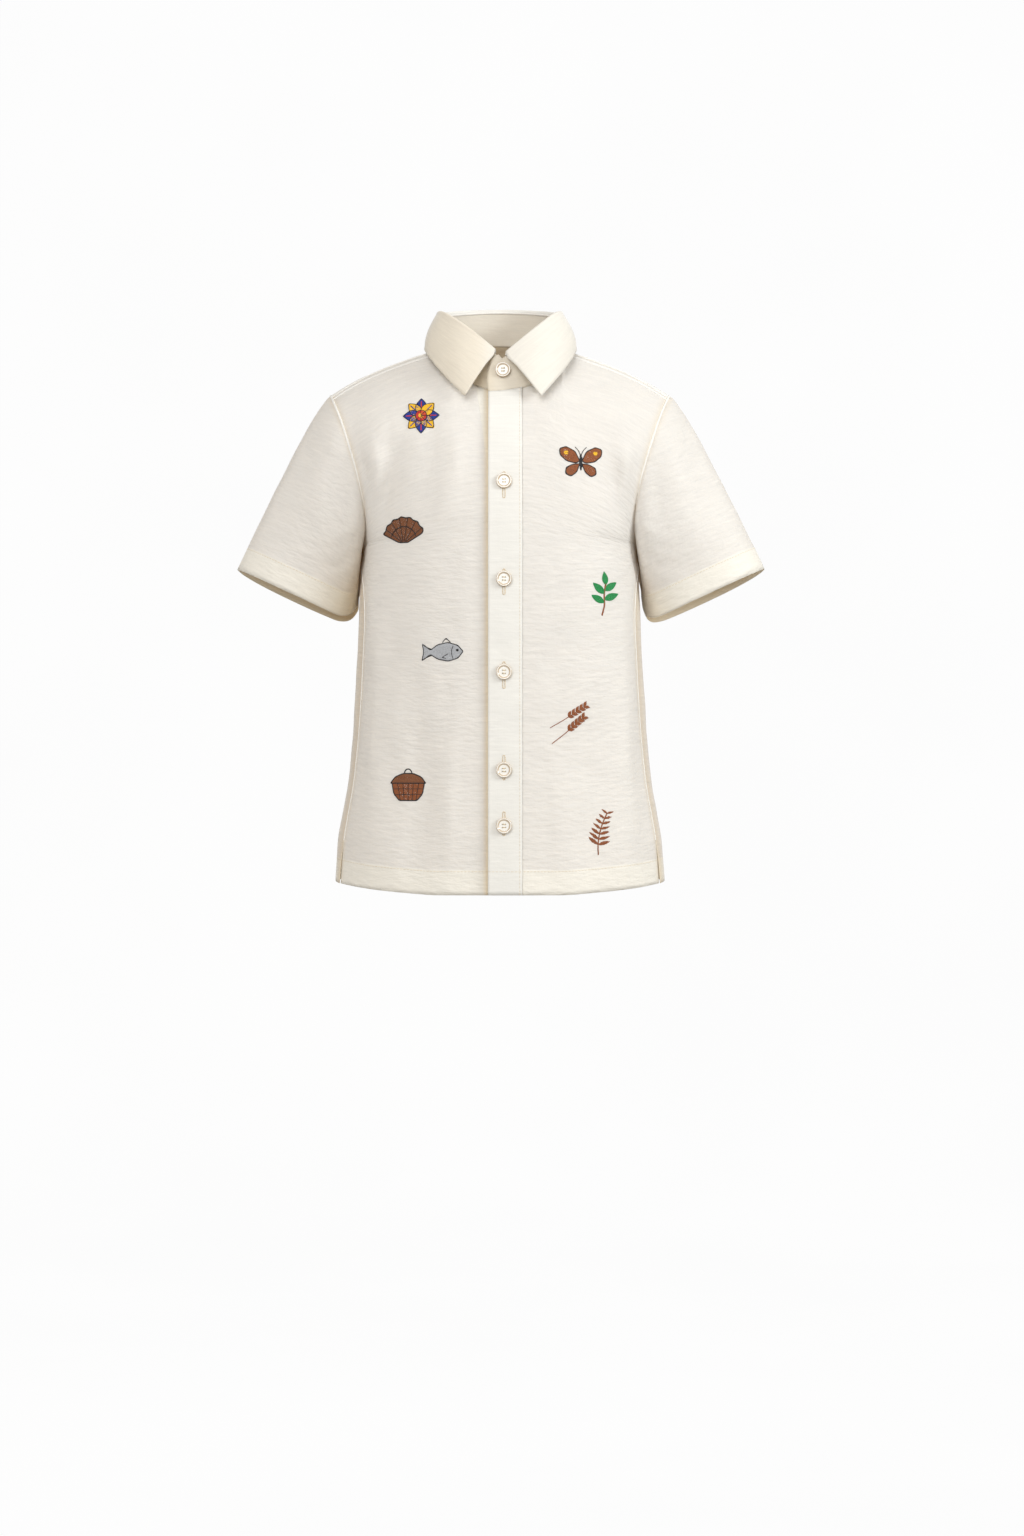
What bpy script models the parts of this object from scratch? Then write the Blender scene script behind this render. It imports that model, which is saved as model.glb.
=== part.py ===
"""A child's short-sleeved polo barong (barong tagalog), worn and buttoned, with no wearer.

Metres, +Z up, the front faces -Y and the wearer's left is +X. The origin is at the middle of
the neck's base, level with the points where the shoulders meet the neck.

Every cloth piece is a wall: a grid of points on the middle of the cloth, moved out and in by
half its thickness. In every grid the columns run anticlockwise seen from above and the rows run
up, so the cross product of the two directions points out of the shirt. Pieces that are sewn
together share the points of their seam, and each stops short of it by half the seam's gap.
"""

import math
from typing import NamedTuple

import bmesh
import bpy
import numpy as np
from mathutils import Vector

# ---------------------------------------------------------------- driving sizes

CLOTH = 0.0010            # wall of one cloth piece
HEM_WALL = 0.0018         # wall where the cloth is turned up at a hem
COLLAR_WALL = 0.0014      # wall of the collar's fall, two layers and a stiffener
SEAM_GAP = 0.0003         # clear gap between two sewn pieces
LAYER = CLOTH + 0.0005    # step from the middle of one layer to the next one lying on it

FRONT_MIDDLE = 0.0044     # the buttoned edge sits a little to the wearer's left
PLACKET_WIDTH = 0.0275
PLACKET_RIGHT = FRONT_MIDDLE - PLACKET_WIDTH / 2
PLACKET_LEFT = FRONT_MIDDLE + PLACKET_WIDTH / 2
UNDERLAP_END = PLACKET_LEFT - 0.0015
LAP_FADE = 0.0300         # width over which the upper front sinks back to the lower one's level

SQUARENESS = 2.5          # of the body's rounded sections, where 2 is an ellipse

NECK_HALF_WIDTH = 0.0570
NECK_FRONT = 0.0640
NECK_BACK = 0.0540
NECK_FRONT_Z = -0.0420
NECK_SIDE_Z = 0.0010
NECK_BACK_Z = 0.0120
ROLL_HALF_WIDTH = 0.0490  # of the roll line, where the collar's fall turns over its stand
ROLL_FRONT = 0.0590
ROLL_BACK = 0.0480
ROLL_SHIFT = 0.0020       # the roll line's front sits this far to the wearer's left
ROLL_FRONT_Z = -0.0145
ROLL_SIDE_Z = 0.0300
ROLL_BACK_Z = 0.0400
NECK_CORNER = math.radians(75)   # where the forward shoulder seam meets the neck
SEAM_FORWARD = 0.0430             # how far before the shoulder line the side seams run
VENT_SPREAD = 0.0012             # how far the back's hem stands out past the front's at a vent
CHEST_SLOPE = 0.75               # how fast the chest comes forward below the neck
OVERLAP_DROOP = 0.24             # slope of the upper front's neckline past the middle

SHOULDER_FALL = 0.0366    # drop of the shoulder's crest from the neck to the sleeve
SHOULDER_START = 0.0580
SHOULDER_END = 0.1410
SHOULDER_SEAM_DROP = 0.0040

BUTTON_RADIUS = 0.00635
BUTTON_THICKNESS = 0.0024
BUTTON_HEIGHTS = (-0.1180, -0.1970, -0.2720, -0.3510, -0.3960)
BUTTON_X = 0.0036
COLLAR_BUTTON_SHARE = 0.25       # its place from the stand's second column to its third


class Level(NamedTuple):
    """One level of the body: its edge at the side seam or armhole, and its middle."""

    edge_x: float       # half width at the edge
    edge_z: float       # height at the edge
    edge_front: float   # how far the front's edge lies before the shoulder line
    edge_back: float    # how far the back's edge lies behind it
    middle_z: float     # height at the middle of the front and back
    front: float        # depth of the front's middle
    back: float         # depth of the back's middle
    wrap: float         # degrees of a quarter turn that the section makes by its edge


LEVELS = (
    Level(0.1375, -0.4435, 0.0000, 0.0000, -0.4520, 0.1000, 0.0970, 90),   # hem
    Level(0.1348, -0.4085, 0.0000, 0.0000, -0.4120, 0.0990, 0.0950, 90),
    Level(0.1270, -0.3650, 0.0000, 0.0000, -0.3650, 0.0980, 0.0925, 90),
    Level(0.1225, -0.3240, 0.0000, 0.0000, -0.3240, 0.0970, 0.0910, 90),
    Level(0.1196, -0.2800, 0.0000, 0.0000, -0.2800, 0.0965, 0.0910, 90),
    Level(0.1172, -0.2250, 0.0000, 0.0000, -0.2250, 0.0960, 0.0920, 90),
    Level(0.1155, -0.1850, 0.0000, 0.0000, -0.1850, 0.0953, 0.0935, 90),
    Level(0.1145, -0.1680, 0.0000, 0.0000, -0.1660, 0.0945, 0.0940, 90),   # underarm
    Level(0.1122, -0.1625, 0.0260, 0.0280, -0.1570, 0.0938, 0.0942, 81),
    Level(0.1108, -0.1500, 0.0410, 0.0450, -0.1430, 0.0928, 0.0942, 73),
    Level(0.1120, -0.1330, 0.0500, 0.0570, -0.1250, 0.0905, 0.0936, 67),
    Level(0.1170, -0.1080, 0.0550, 0.0630, -0.0980, 0.0850, 0.0920, 62),
    Level(0.1240, -0.0840, 0.0530, 0.0610, -0.0710, 0.0760, 0.0880, 60),
    Level(0.1305, -0.0640, 0.0440, 0.0530, -0.0450, 0.0650, 0.0800, 56),   # back yoke seam
    Level(0.1365, -0.0490, 0.0290, 0.0400, -0.0230, 0.0420, 0.0700, 50),
    Level(0.1405, -0.0405, 0.0120, 0.0300, -0.0050, 0.0180, 0.0600, 45),   # shoulder seam
)
HEM_LINE = 0.5            # level number of the hem's stitching, halfway to the second level
UNDERARM = 7
YOKE_SEAM = 13
SHOULDER_SEAM = 15

# rows of the body's grids, as level numbers; two close rows step the hem's thickness
BODY_ROWS = (0, HEM_LINE, HEM_LINE + 0.02, 1, 1.5, 2, 2.5, 3, 3.5, 4, 4.5, 5, 5.5, 6)
ARMHOLE_ROWS = (7, 7.5, 8, 9, 10, 10.6, 11.3, 12, 13)
SHOULDER_ROWS = (13.7, 14.4, 15)
FREE_ABOVE = 10           # above this level the rows close up under the neckline

LAP_COLUMNS = 4           # of a front, under the placket
NECK_COLUMNS = 6          # of a front, from the placket to the shoulder seam
SHOULDER_COLUMNS = 8      # of a front and of the yoke, along the shoulder seam
BACK_COLUMNS = 30


class Fold(NamedTuple):
    """A soft ridge, or a trough where its height is below 0, along a straight run."""

    start: tuple[float, float]   # distance round from the middle, height
    end: tuple[float, float]
    width: float
    height: float


FRONT_RIGHT_FOLDS = (
    Fold((-0.128, -0.150), (-0.100, -0.075), 0.012, 0.0042),
    Fold((-0.112, -0.150), (-0.082, -0.080), 0.011, -0.0036),
    Fold((-0.030, -0.060), (-0.045, -0.150), 0.010, 0.0020),
    Fold((-0.105, -0.430), (-0.100, -0.250), 0.016, 0.0038),
    Fold((-0.070, -0.445), (-0.068, -0.280), 0.014, -0.0030),
    Fold((-0.040, -0.445), (-0.042, -0.330), 0.012, 0.0018),
)
FRONT_LEFT_FOLDS = (
    Fold((0.128, -0.150), (0.104, -0.085), 0.012, 0.0034),
    Fold((0.112, -0.150), (0.088, -0.090), 0.011, -0.0028),
    Fold((0.108, -0.430), (0.104, -0.270), 0.016, 0.0032),
    Fold((0.078, -0.445), (0.076, -0.300), 0.014, -0.0026),
    Fold((0.050, -0.445), (0.050, -0.340), 0.012, 0.0016),
)
BACK_FOLDS = (
    Fold((-0.118, -0.155), (-0.060, -0.090), 0.013, -0.0036),
    Fold((0.118, -0.155), (0.062, -0.095), 0.013, -0.0032),
    Fold((-0.085, -0.450), (-0.078, -0.170), 0.018, 0.0044),
    Fold((-0.038, -0.455), (-0.034, -0.210), 0.016, -0.0034),
    Fold((0.022, -0.455), (0.020, -0.250), 0.016, 0.0036),
    Fold((0.074, -0.450), (0.066, -0.160), 0.018, -0.0040),
    Fold((0.112, -0.440), (0.106, -0.280), 0.014, 0.0030),
)


class Cuff(NamedTuple):
    """A sleeve's lower edge, for the wearer's left side; the right side is mirrored."""

    middle: tuple[float, float, float]
    tilt: float          # degrees that the edge runs down towards the body
    half_width: float
    half_depth: float
    underarm_lift: float
    back_drop: float     # how far the back of the edge hangs below its front


LEFT_CUFF = Cuff((0.1735, 0.0020, -0.2050), 25.0, 0.0530, 0.0440, 0.0060, 0.0035)
RIGHT_CUFF = Cuff((0.1720, 0.0020, -0.2055), 25.0, 0.0530, 0.0440, 0.0180, 0.0035)
BODY_CLEARANCE = 0.0025   # least gap from a sleeve to the body below the underarm
SLEEVE_ROWS = (0.0, 0.135, 0.14, 0.26, 0.38, 0.50, 0.62, 0.74, 0.86, 0.94, 1.0)


# ---------------------------------------------------------------- curves and surfaces

def unit(vectors: np.ndarray) -> np.ndarray:
    """The vectors at length 1."""
    return vectors / np.linalg.norm(vectors, axis=-1, keepdims=True)


def smooth(value: np.ndarray | float) -> np.ndarray | float:
    """0 below 0, 1 above 1, and an even S curve between."""
    value = np.clip(value, 0.0, 1.0)
    return value * value * (3.0 - 2.0 * value)


def through(knots: np.ndarray, values: np.ndarray, at: np.ndarray | float) -> np.ndarray:
    """A smooth curve through the values at the knots that never swings past them."""
    knots, values = np.asarray(knots, float), np.asarray(values, float)
    steps = np.diff(knots)
    rises = np.diff(values) / steps
    slopes = np.zeros(len(knots))
    slopes[0], slopes[-1] = rises[0], rises[-1]
    for i in range(1, len(knots) - 1):
        if rises[i - 1] * rises[i] > 0.0:
            before, after = 2 * steps[i] + steps[i - 1], steps[i] + 2 * steps[i - 1]
            slopes[i] = (before + after) / (before / rises[i - 1] + after / rises[i])
    at = np.asarray(at, float)
    span = np.clip(np.searchsorted(knots, at, side="right") - 1, 0, len(steps) - 1)
    t = (at - knots[span]) / steps[span]
    return ((1 + 2 * t) * (1 - t) ** 2 * values[span] + t * (1 - t) ** 2 * steps[span] * slopes[span]
            + t * t * (3 - 2 * t) * values[span + 1] + t * t * (t - 1) * steps[span] * slopes[span + 1])


def hermite(start: np.ndarray, leave: np.ndarray, end: np.ndarray, arrive: np.ndarray,
            t: float) -> np.ndarray:
    """A point on the cubic curve with these ends and these directions at its ends."""
    return ((1 + 2 * t) * (1 - t) ** 2 * start + t * (1 - t) ** 2 * leave
            + t * t * (3 - 2 * t) * end + t * t * (t - 1) * arrive)


def along(points: np.ndarray, fractions: np.ndarray) -> np.ndarray:
    """Points at fractions of a polyline's length."""
    run = np.concatenate([[0.0], np.cumsum(np.linalg.norm(np.diff(points, axis=0), axis=1))])
    wanted = np.asarray(fractions, float) * run[-1]
    return np.stack([np.interp(wanted, run, points[:, k]) for k in range(3)], axis=-1)


def level(number: float) -> Level:
    """The body's level at a number between two rows of the table."""
    numbers = np.arange(len(LEVELS))
    return Level(*(float(through(numbers, [getattr(row, name) for row in LEVELS], number))
                   for name in Level._fields))


def shoulder_fall(share: np.ndarray | float) -> np.ndarray | float:
    """Share of the shoulder's fall, at a share of the way from neck to sleeve."""
    share = np.clip(share, 0.0, 1.0)
    return 0.68 * share + 0.32 * share ** 3


def crest_z(x: np.ndarray | float) -> np.ndarray | float:
    """Height of the shoulder's crest at a distance to the side."""
    return -SHOULDER_FALL * shoulder_fall((np.abs(x) - SHOULDER_START) / (SHOULDER_END - SHOULDER_START))


def section(number: float, back: bool, samples: int = 161) -> np.ndarray:
    """Half a section of the body, from its middle to its edge on the wearer's left."""
    row = level(number)
    turn = np.linspace(0.0, 1.0, samples) ** 1.4 * math.radians(row.wrap)
    power, limit = 2.0 / SQUARENESS, math.radians(row.wrap)
    out = np.sin(turn) ** power / math.sin(limit) ** power
    least = max(math.cos(limit), 0.0) ** power
    deep = (np.clip(np.cos(turn), 0.0, 1.0) ** power - least) / (1.0 - least)
    edge, middle = (row.edge_back, row.back) if back else (row.edge_front, row.front)
    z = row.middle_z + (row.edge_z - row.middle_z) * shoulder_fall((out - 0.4) / 0.6)
    y = edge + (middle - edge) * deep
    return np.stack([row.edge_x * out, y if back else -y, z], axis=-1)


def on_section(number: float, distances: np.ndarray, back: bool) -> np.ndarray:
    """Points at distances round from the middle, negative to the wearer's right."""
    half = section(number, back)
    if number < UNDERARM:                # below the underarm the other half follows on
        half = np.concatenate([half, section(number, not back)[-2::-1]])
    run = np.concatenate([[0.0], np.cumsum(np.linalg.norm(np.diff(half, axis=0), axis=1))])
    points = np.stack([np.interp(np.abs(distances), run, half[:, k]) for k in range(3)], axis=-1)
    points[..., 0] *= np.where(np.asarray(distances) < 0.0, -1.0, 1.0)
    return points


def section_length(number: float, back: bool) -> float:
    """Distance round half a section."""
    return float(np.linalg.norm(np.diff(section(number, back), axis=0), axis=1).sum())


def seam_forward(number: float) -> float:
    """How far before the shoulder line the side seam runs at a level."""
    return float(SEAM_FORWARD * smooth((UNDERARM - number) / 2.0))


def neck_point(angle: np.ndarray | float) -> np.ndarray:
    """The neck seam, at an angle from the front round the wearer's left."""
    angle = np.asarray(angle, float)
    sine, cosine = np.sin(angle), np.cos(angle)
    forward, rearward = np.clip(cosine, 0.0, 1.0), np.clip(-cosine, 0.0, 1.0)
    x = NECK_HALF_WIDTH * sine + FRONT_MIDDLE * forward ** 2
    y = -NECK_FRONT * forward + NECK_BACK * rearward
    z = (NECK_SIDE_Z + (NECK_FRONT_Z - NECK_SIDE_Z) * forward ** 1.7
         + (NECK_BACK_Z - NECK_SIDE_Z) * rearward ** 1.3)
    return np.stack([x, y, z], axis=-1)


def neck_angle(x: float) -> float:
    """The angle of the neck seam's front at a place across."""
    angles = np.linspace(-1.2, 1.2, 481)
    return float(np.interp(x, neck_point(angles)[:, 0], angles))


def shoulder_seam(side: int, samples: int = 41) -> np.ndarray:
    """The forward shoulder seam, from the neck out to the sleeve."""
    start = neck_point(side * NECK_CORNER)
    last = level(SHOULDER_SEAM)
    share = np.linspace(0.0, 1.0, samples)
    x = start[0] + (side * last.edge_x - start[0]) * share
    y = start[1] + (-last.edge_front - start[1]) * share
    z = crest_z(x) - SHOULDER_SEAM_DROP
    z += (start[2] - z[0]) * (1 - share) ** 2 + (last.edge_z - z[-1]) * share ** 2
    return np.stack([x, y, z], axis=-1)


def fold_height(folds: tuple[Fold, ...], round_from_middle: np.ndarray, z: np.ndarray) -> np.ndarray:
    """How far the folds lift each point off the plain form."""
    total = np.zeros(np.shape(z))
    place = np.stack([round_from_middle, z], axis=-1)
    for fold in folds:
        start, end = np.array(fold.start), np.array(fold.end)
        run = end - start
        share = np.clip(((place - start) @ run) / (run @ run), 0.0, 1.0)
        away = np.linalg.norm(place - (start + share[..., None] * run), axis=-1)
        fade = np.sin(math.pi * np.clip(0.12 + 0.76 * share, 0.0, 1.0)) ** 0.8
        total += fold.height * fade * np.exp(-(away / fold.width) ** 2)
    return total


def outward(grid: np.ndarray, wrapped: bool = False) -> np.ndarray:
    """Unit normals of a grid, out of the shirt."""
    if wrapped:
        padded = np.concatenate([grid[:, -1:], grid, grid[:, :1]], axis=1)
        across = (padded[:, 2:] - padded[:, :-2])
    else:
        across = np.gradient(grid, axis=1)
    return unit(np.cross(across, np.gradient(grid, axis=0)))


# ---------------------------------------------------------------- the pieces' grids

def front_grid(side: int) -> np.ndarray:
    """A front's points, columns from the wearer's right to left.

    The right front runs on under the placket and the left front starts at the placket's
    right edge, one layer out.
    """
    if side > 0:
        lap = np.linspace(PLACKET_RIGHT, PLACKET_LEFT, LAP_COLUMNS)
    else:
        lap = np.linspace(UNDERLAP_END, PLACKET_RIGHT, LAP_COLUMNS)
    shares = np.linspace(0.0, 1.0, NECK_COLUMNS + SHOULDER_COLUMNS)

    corner = neck_angle(float(lap[-1]))
    neck = neck_point(np.linspace(corner, side * NECK_CORNER, 41))
    top = [neck_point(neck_angle(float(c))) for c in lap]
    top += list(along(neck, np.linspace(0, 1, NECK_COLUMNS + 1))[1:])
    top += list(along(shoulder_seam(side), np.linspace(0, 1, SHOULDER_COLUMNS))[1:])
    top = np.array(top)
    if side > 0:
        droop = OVERLAP_DROOP * np.clip(FRONT_MIDDLE - top[:, 0], 0.0, None)
        top[:, 2] -= droop
        top[:, 1] -= CHEST_SLOPE * droop

    def at(number: float) -> np.ndarray:
        """All the columns' points at a level."""
        reach = section_length(number, False) - seam_forward(number)
        past_lap = lap[-1] + (side * reach - lap[-1]) * shares[1:]
        return on_section(number, np.concatenate([lap, past_lap]), False)

    numbers = np.linspace(FREE_ABOVE + 1.5, SHOULDER_SEAM, 57)
    gaps = [np.linalg.norm(at(number) - top, axis=1) for number in numbers]
    last_levels = numbers[np.argmin(gaps, axis=0)]     # where each column meets the top edge
    last_levels[LAP_COLUMNS + NECK_COLUMNS:] = SHOULDER_SEAM

    rows = BODY_ROWS + ARMHOLE_ROWS + SHOULDER_ROWS
    grid = np.zeros((len(rows), len(top), 3))
    for r, number in enumerate(rows):
        reach = max(number - FREE_ABOVE, 0.0) / (SHOULDER_SEAM - FREE_ABOVE)
        for c, last in enumerate(last_levels):
            here = FREE_ABOVE + reach * (last - FREE_ABOVE) if reach > 0.0 else number
            grid[r, c] = at(here)[c]
    grid = pinned_top(grid, top, len(BODY_ROWS) + 2)

    normals = outward(grid) * side
    distance = side * np.linalg.norm(np.diff(grid, axis=1), axis=-1).cumsum(axis=1)
    around = np.concatenate([np.full((len(rows), 1), lap[0]), lap[0] + distance], axis=1)
    folds = FRONT_LEFT_FOLDS if side > 0 else FRONT_RIGHT_FOLDS
    lift = fold_height(folds, around, grid[..., 2]) * away_from_edges(grid, side)
    if side > 0:
        lift = lift + LAYER * (1.0 - smooth((around - PLACKET_LEFT) / LAP_FADE))
        lift[-1, LAP_COLUMNS + NECK_COLUMNS - 1:] = 0.0
    grid = grid + normals * lift[..., None]
    return grid if side > 0 else grid[:, ::-1]


def pinned_top(grid: np.ndarray, top: np.ndarray, first_row: int) -> np.ndarray:
    """The grid with its last row on the given points, easing in from the first row."""
    rows = len(grid)
    ease = smooth((np.arange(rows) - first_row) / (rows - 1 - first_row))
    return grid + ease[:, None, None] * (top - grid[-1])[None]


def away_from_edges(grid: np.ndarray, side: int) -> np.ndarray:
    """1 inside a front and 0 at its side seam, armhole, shoulder, neck and buttoned edge."""
    rows, columns = grid.shape[:2]
    to_side = smooth((columns - 1 - np.arange(columns)) / 2.5)
    to_lap = smooth((np.arange(columns) - LAP_COLUMNS + 1) / 3.0)
    to_top = smooth((rows - 1 - np.arange(rows)) / 4.0)
    return to_top[:, None] * (to_side * to_lap)[None]


def back_grid(columns: int) -> np.ndarray:
    """The back's points, from the wearer's left side seam round to the right one."""
    rows = BODY_ROWS + ARMHOLE_ROWS
    shares = np.linspace(1.0, -1.0, columns)
    grid = np.zeros((len(rows), columns, 3))
    reach = np.array([section_length(n, True) + seam_forward(n) for n in rows])
    for r, number in enumerate(rows):
        grid[r] = on_section(number, shares * reach[r], True)
    normals = outward(grid)
    around = shares[None] * reach[:, None]
    inside = smooth((1.0 - np.abs(shares)) * columns / 5.0)[None]
    inside = inside * smooth((len(rows) - 1 - np.arange(len(rows))) / 3.0)[:, None]
    grid = grid + normals * (fold_height(BACK_FOLDS, around, grid[..., 2]) * inside)[..., None]
    sewn = BODY_ROWS.index(1)            # the side vents are open below this row
    vent = smooth(1.0 - np.arange(len(rows)) / (sewn + 2.0))
    for column, sign in ((0, 1.0), (-1, -1.0)):
        grid[:, column] += np.array([sign * VENT_SPREAD, VENT_SPREAD, 0.0]) * vent[:, None]
    return grid


def yoke_grid(back: np.ndarray, left: np.ndarray, right: np.ndarray) -> np.ndarray:
    """The yoke's points, up from the back's top to the neck and the forward seams."""
    shoulder = SHOULDER_COLUMNS
    left_top, right_top = left[-1, -shoulder:][::-1], right[-1, :shoulder][::-1]
    left_down = (left[-2, -shoulder:] - left[-1, -shoulder:])[::-1]
    right_down = (right[-2, :shoulder] - right[-1, :shoulder])[::-1]
    inner = back.shape[1] - 2 * shoulder
    angles = np.linspace(NECK_CORNER, 2 * math.pi - NECK_CORNER, inner + 2)[1:-1]
    neck = neck_point(angles)
    inward = np.stack([-np.sin(angles), np.cos(angles), 0.0 * angles], axis=-1)
    inward[:, 2] = 0.30 + 0.35 * np.clip(-np.cos(angles), 0.0, 1.0)
    top = np.concatenate([left_top, neck, right_top])
    arrive = unit(np.concatenate([left_down, inward, right_down]))
    for corner, step in ((shoulder - 1, 1), (shoulder + inner, -1)):
        arrive[corner] = unit(arrive[corner] + arrive[corner + 2 * step])
        arrive[corner + step] = unit(arrive[corner] + 2.0 * arrive[corner + step])
    leave = unit(back[-1] - back[-2])
    span = np.linalg.norm(top - back[-1], axis=-1, keepdims=True)
    sharpness = np.concatenate([np.full(shoulder, 1.05), np.full(inner, 0.70), np.full(shoulder, 1.05)])
    rows = [hermite(back[-1], leave * span, top, arrive * span * sharpness[:, None], t)
            for t in (0.0, 0.22, 0.44, 0.64, 0.82, 1.0)]
    return eased(np.array(rows), (shoulder - 1, shoulder + inner))


def eased(grid: np.ndarray, corners: tuple[int, int], turns: int = 10) -> np.ndarray:
    """Smooth a grid's inner points about the columns that meet the neck's corners."""
    column = np.arange(grid.shape[1])
    share = sum(np.exp(-((column - corner) / 3.5) ** 2) for corner in corners)[1:-1, None]
    for _ in range(turns):
        around = (grid[:-2, 1:-1] + grid[2:, 1:-1] + grid[1:-1, :-2] + grid[1:-1, 2:]) / 4.0
        grid[1:-1, 1:-1] += 0.7 * share * (around - grid[1:-1, 1:-1])
    return grid


def armhole_ring(side: int, front: np.ndarray, back: np.ndarray, yoke: np.ndarray) -> np.ndarray:
    """The armhole's seam points, anticlockwise seen from above from the underarm."""
    first = len(BODY_ROWS)
    front_edge = front[first:, -1] if side > 0 else front[first:, 0]
    back_edge = back[first:, 0] if side > 0 else back[first:, -1]
    tip = yoke[:, 0] if side > 0 else yoke[:, -1]
    ring = np.concatenate([front_edge, tip[::-1][1:-1], back_edge[::-1][:-1]])
    if side < 0:
        ring = np.concatenate([ring[:1], ring[1:][::-1]])
    return ring


def sleeve_grid(side: int, ring: np.ndarray, cuff: Cuff) -> np.ndarray:
    """A sleeve's points, up from the cuff to the armhole ring."""
    steps = np.linalg.norm(np.diff(np.concatenate([ring, ring[:1]]), axis=0), axis=1)
    share = np.concatenate([[0.0], np.cumsum(steps)[:-1]]) / steps.sum()
    turn = 2 * math.pi * share * side
    tilt = math.radians(cuff.tilt)
    inward = np.array([-math.cos(tilt), 0.0, -math.sin(tilt)])
    up_arm = np.array([-math.sin(tilt), 0.0, math.cos(tilt)])
    power = 2.0 / 2.3
    round_x = np.sign(np.cos(turn)) * np.abs(np.cos(turn)) ** power
    round_y = np.sign(np.sin(turn)) * np.abs(np.sin(turn)) ** power
    edge = (np.array(cuff.middle) + cuff.half_width * round_x[:, None] * inward
            - cuff.half_depth * (round_y * side)[:, None] * np.array([0.0, side, 0.0]))
    near = np.exp(-(np.minimum(share, 1 - share) / 0.06) ** 2)
    drop = cuff.back_drop * np.clip(-round_y, 0.0, 1.0)
    edge = edge + (cuff.underarm_lift * near - drop)[:, None] * up_arm
    edge[:, 0] *= side

    top_share = (1 - np.cos(2 * math.pi * share)) / 2
    low_share = np.clip(1 - np.minimum(share, 1 - share) / 0.24, 0.0, 1.0)
    facing = np.sign(ring[:, 1]) * np.sin(np.pi * np.clip(2 * np.minimum(share, 1 - share), 0, 1))
    leave = np.stack([side * (0.034 * top_share + 0.016 * low_share),
                      0.020 * facing, -0.085 + 0.070 * top_share ** 2 + 0.055 * low_share ** 2], axis=-1)
    reach = np.linalg.norm(edge - ring, axis=1, keepdims=True)
    arm = -up_arm * np.array([side, 1.0, 1.0])
    rows = [hermite(ring, leave, edge, arm * reach * 0.95, 1.0 - t) for t in SLEEVE_ROWS]
    grid = np.array(rows)
    away = np.linalg.norm(grid - ring[None], axis=-1)
    least = body_edge_x(grid) + CLOTH + np.minimum(BODY_CLEARANCE, 0.8 * away)
    grid[:-1, :, 0] = side * np.maximum(side * grid[:-1, :, 0], least[:-1])
    return grid


def body_edge_x(points: np.ndarray) -> np.ndarray:
    """How far out the body's side reaches at the height and depth of each point."""
    heights = [row.edge_z for row in LEVELS[:UNDERARM + 1]]
    half_width, front, back = (np.interp(points[..., 2], heights,
                                         [getattr(row, name) for row in LEVELS[:UNDERARM + 1]])
                               for name in ("edge_x", "front", "back"))
    depth = np.where(points[..., 1] < 0.0, front, back)
    share = np.clip(np.abs(points[..., 1]) / depth, 0.0, 1.0)
    return half_width * (1.0 - share ** SQUARENESS) ** (1.0 / SQUARENESS)


def roll_point(angle: np.ndarray | float) -> np.ndarray:
    """The collar's roll line, where the fall turns over the stand."""
    angle = np.asarray(angle, float)
    sine, cosine = np.sin(angle), np.cos(angle)
    forward, rearward = np.clip(cosine, 0.0, 1.0), np.clip(-cosine, 0.0, 1.0)
    x = ROLL_HALF_WIDTH * sine + ROLL_SHIFT * forward ** 2
    y = -ROLL_FRONT * forward + ROLL_BACK * rearward
    fall = np.where(cosine > 0.0, 1.0 - np.abs(sine), 0.0)
    z = ROLL_SIDE_Z - (ROLL_SIDE_Z - ROLL_FRONT_Z) * fall + (ROLL_BACK_Z - ROLL_SIDE_Z) * rearward ** 1.3
    return np.stack([x, y, z], axis=-1)


def stand_grid(left: np.ndarray, right: np.ndarray, yoke: np.ndarray) -> np.ndarray:
    """The collar stand, from its buttoned end round the neck to the end beneath it."""
    before = LAP_COLUMNS + NECK_COLUMNS
    base = np.concatenate([left[-1, :before], yoke[-1, SHOULDER_COLUMNS:-SHOULDER_COLUMNS],
                           right[-1, -before:]])
    angles = np.unwrap(np.arctan2(base[:, 0] / NECK_HALF_WIDTH, -base[:, 1] / NECK_FRONT))
    top = roll_point(angles)
    ahead = smooth(1.0 - (np.arange(len(base)) - LAP_COLUMNS) / 4.0)
    top += unit(top * [1.0, 1.0, 0.0]) * (LAYER * ahead)[:, None]
    rows = [base + (top - base) * t for t in (0.0, 0.3, 0.6, 0.85, 1.0)]
    grid = np.array(rows)
    bulge = np.array([0.0, -0.0022, -0.0018, 0.0010, 0.0050])   # the buttoned end is rounded
    grid[:, 0, 0] += bulge
    grid[:, 1, 0] += 0.4 * bulge
    grid[-1, :3, 2] -= (0.0035, 0.0012, 0.0)
    return grid


class LeafEdge(NamedTuple):
    """A point on the collar's outer edge, for one side, from the front point to the back."""

    share: float         # of the way from the front corner to the middle of the back
    x: float
    y: float
    z: float


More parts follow.
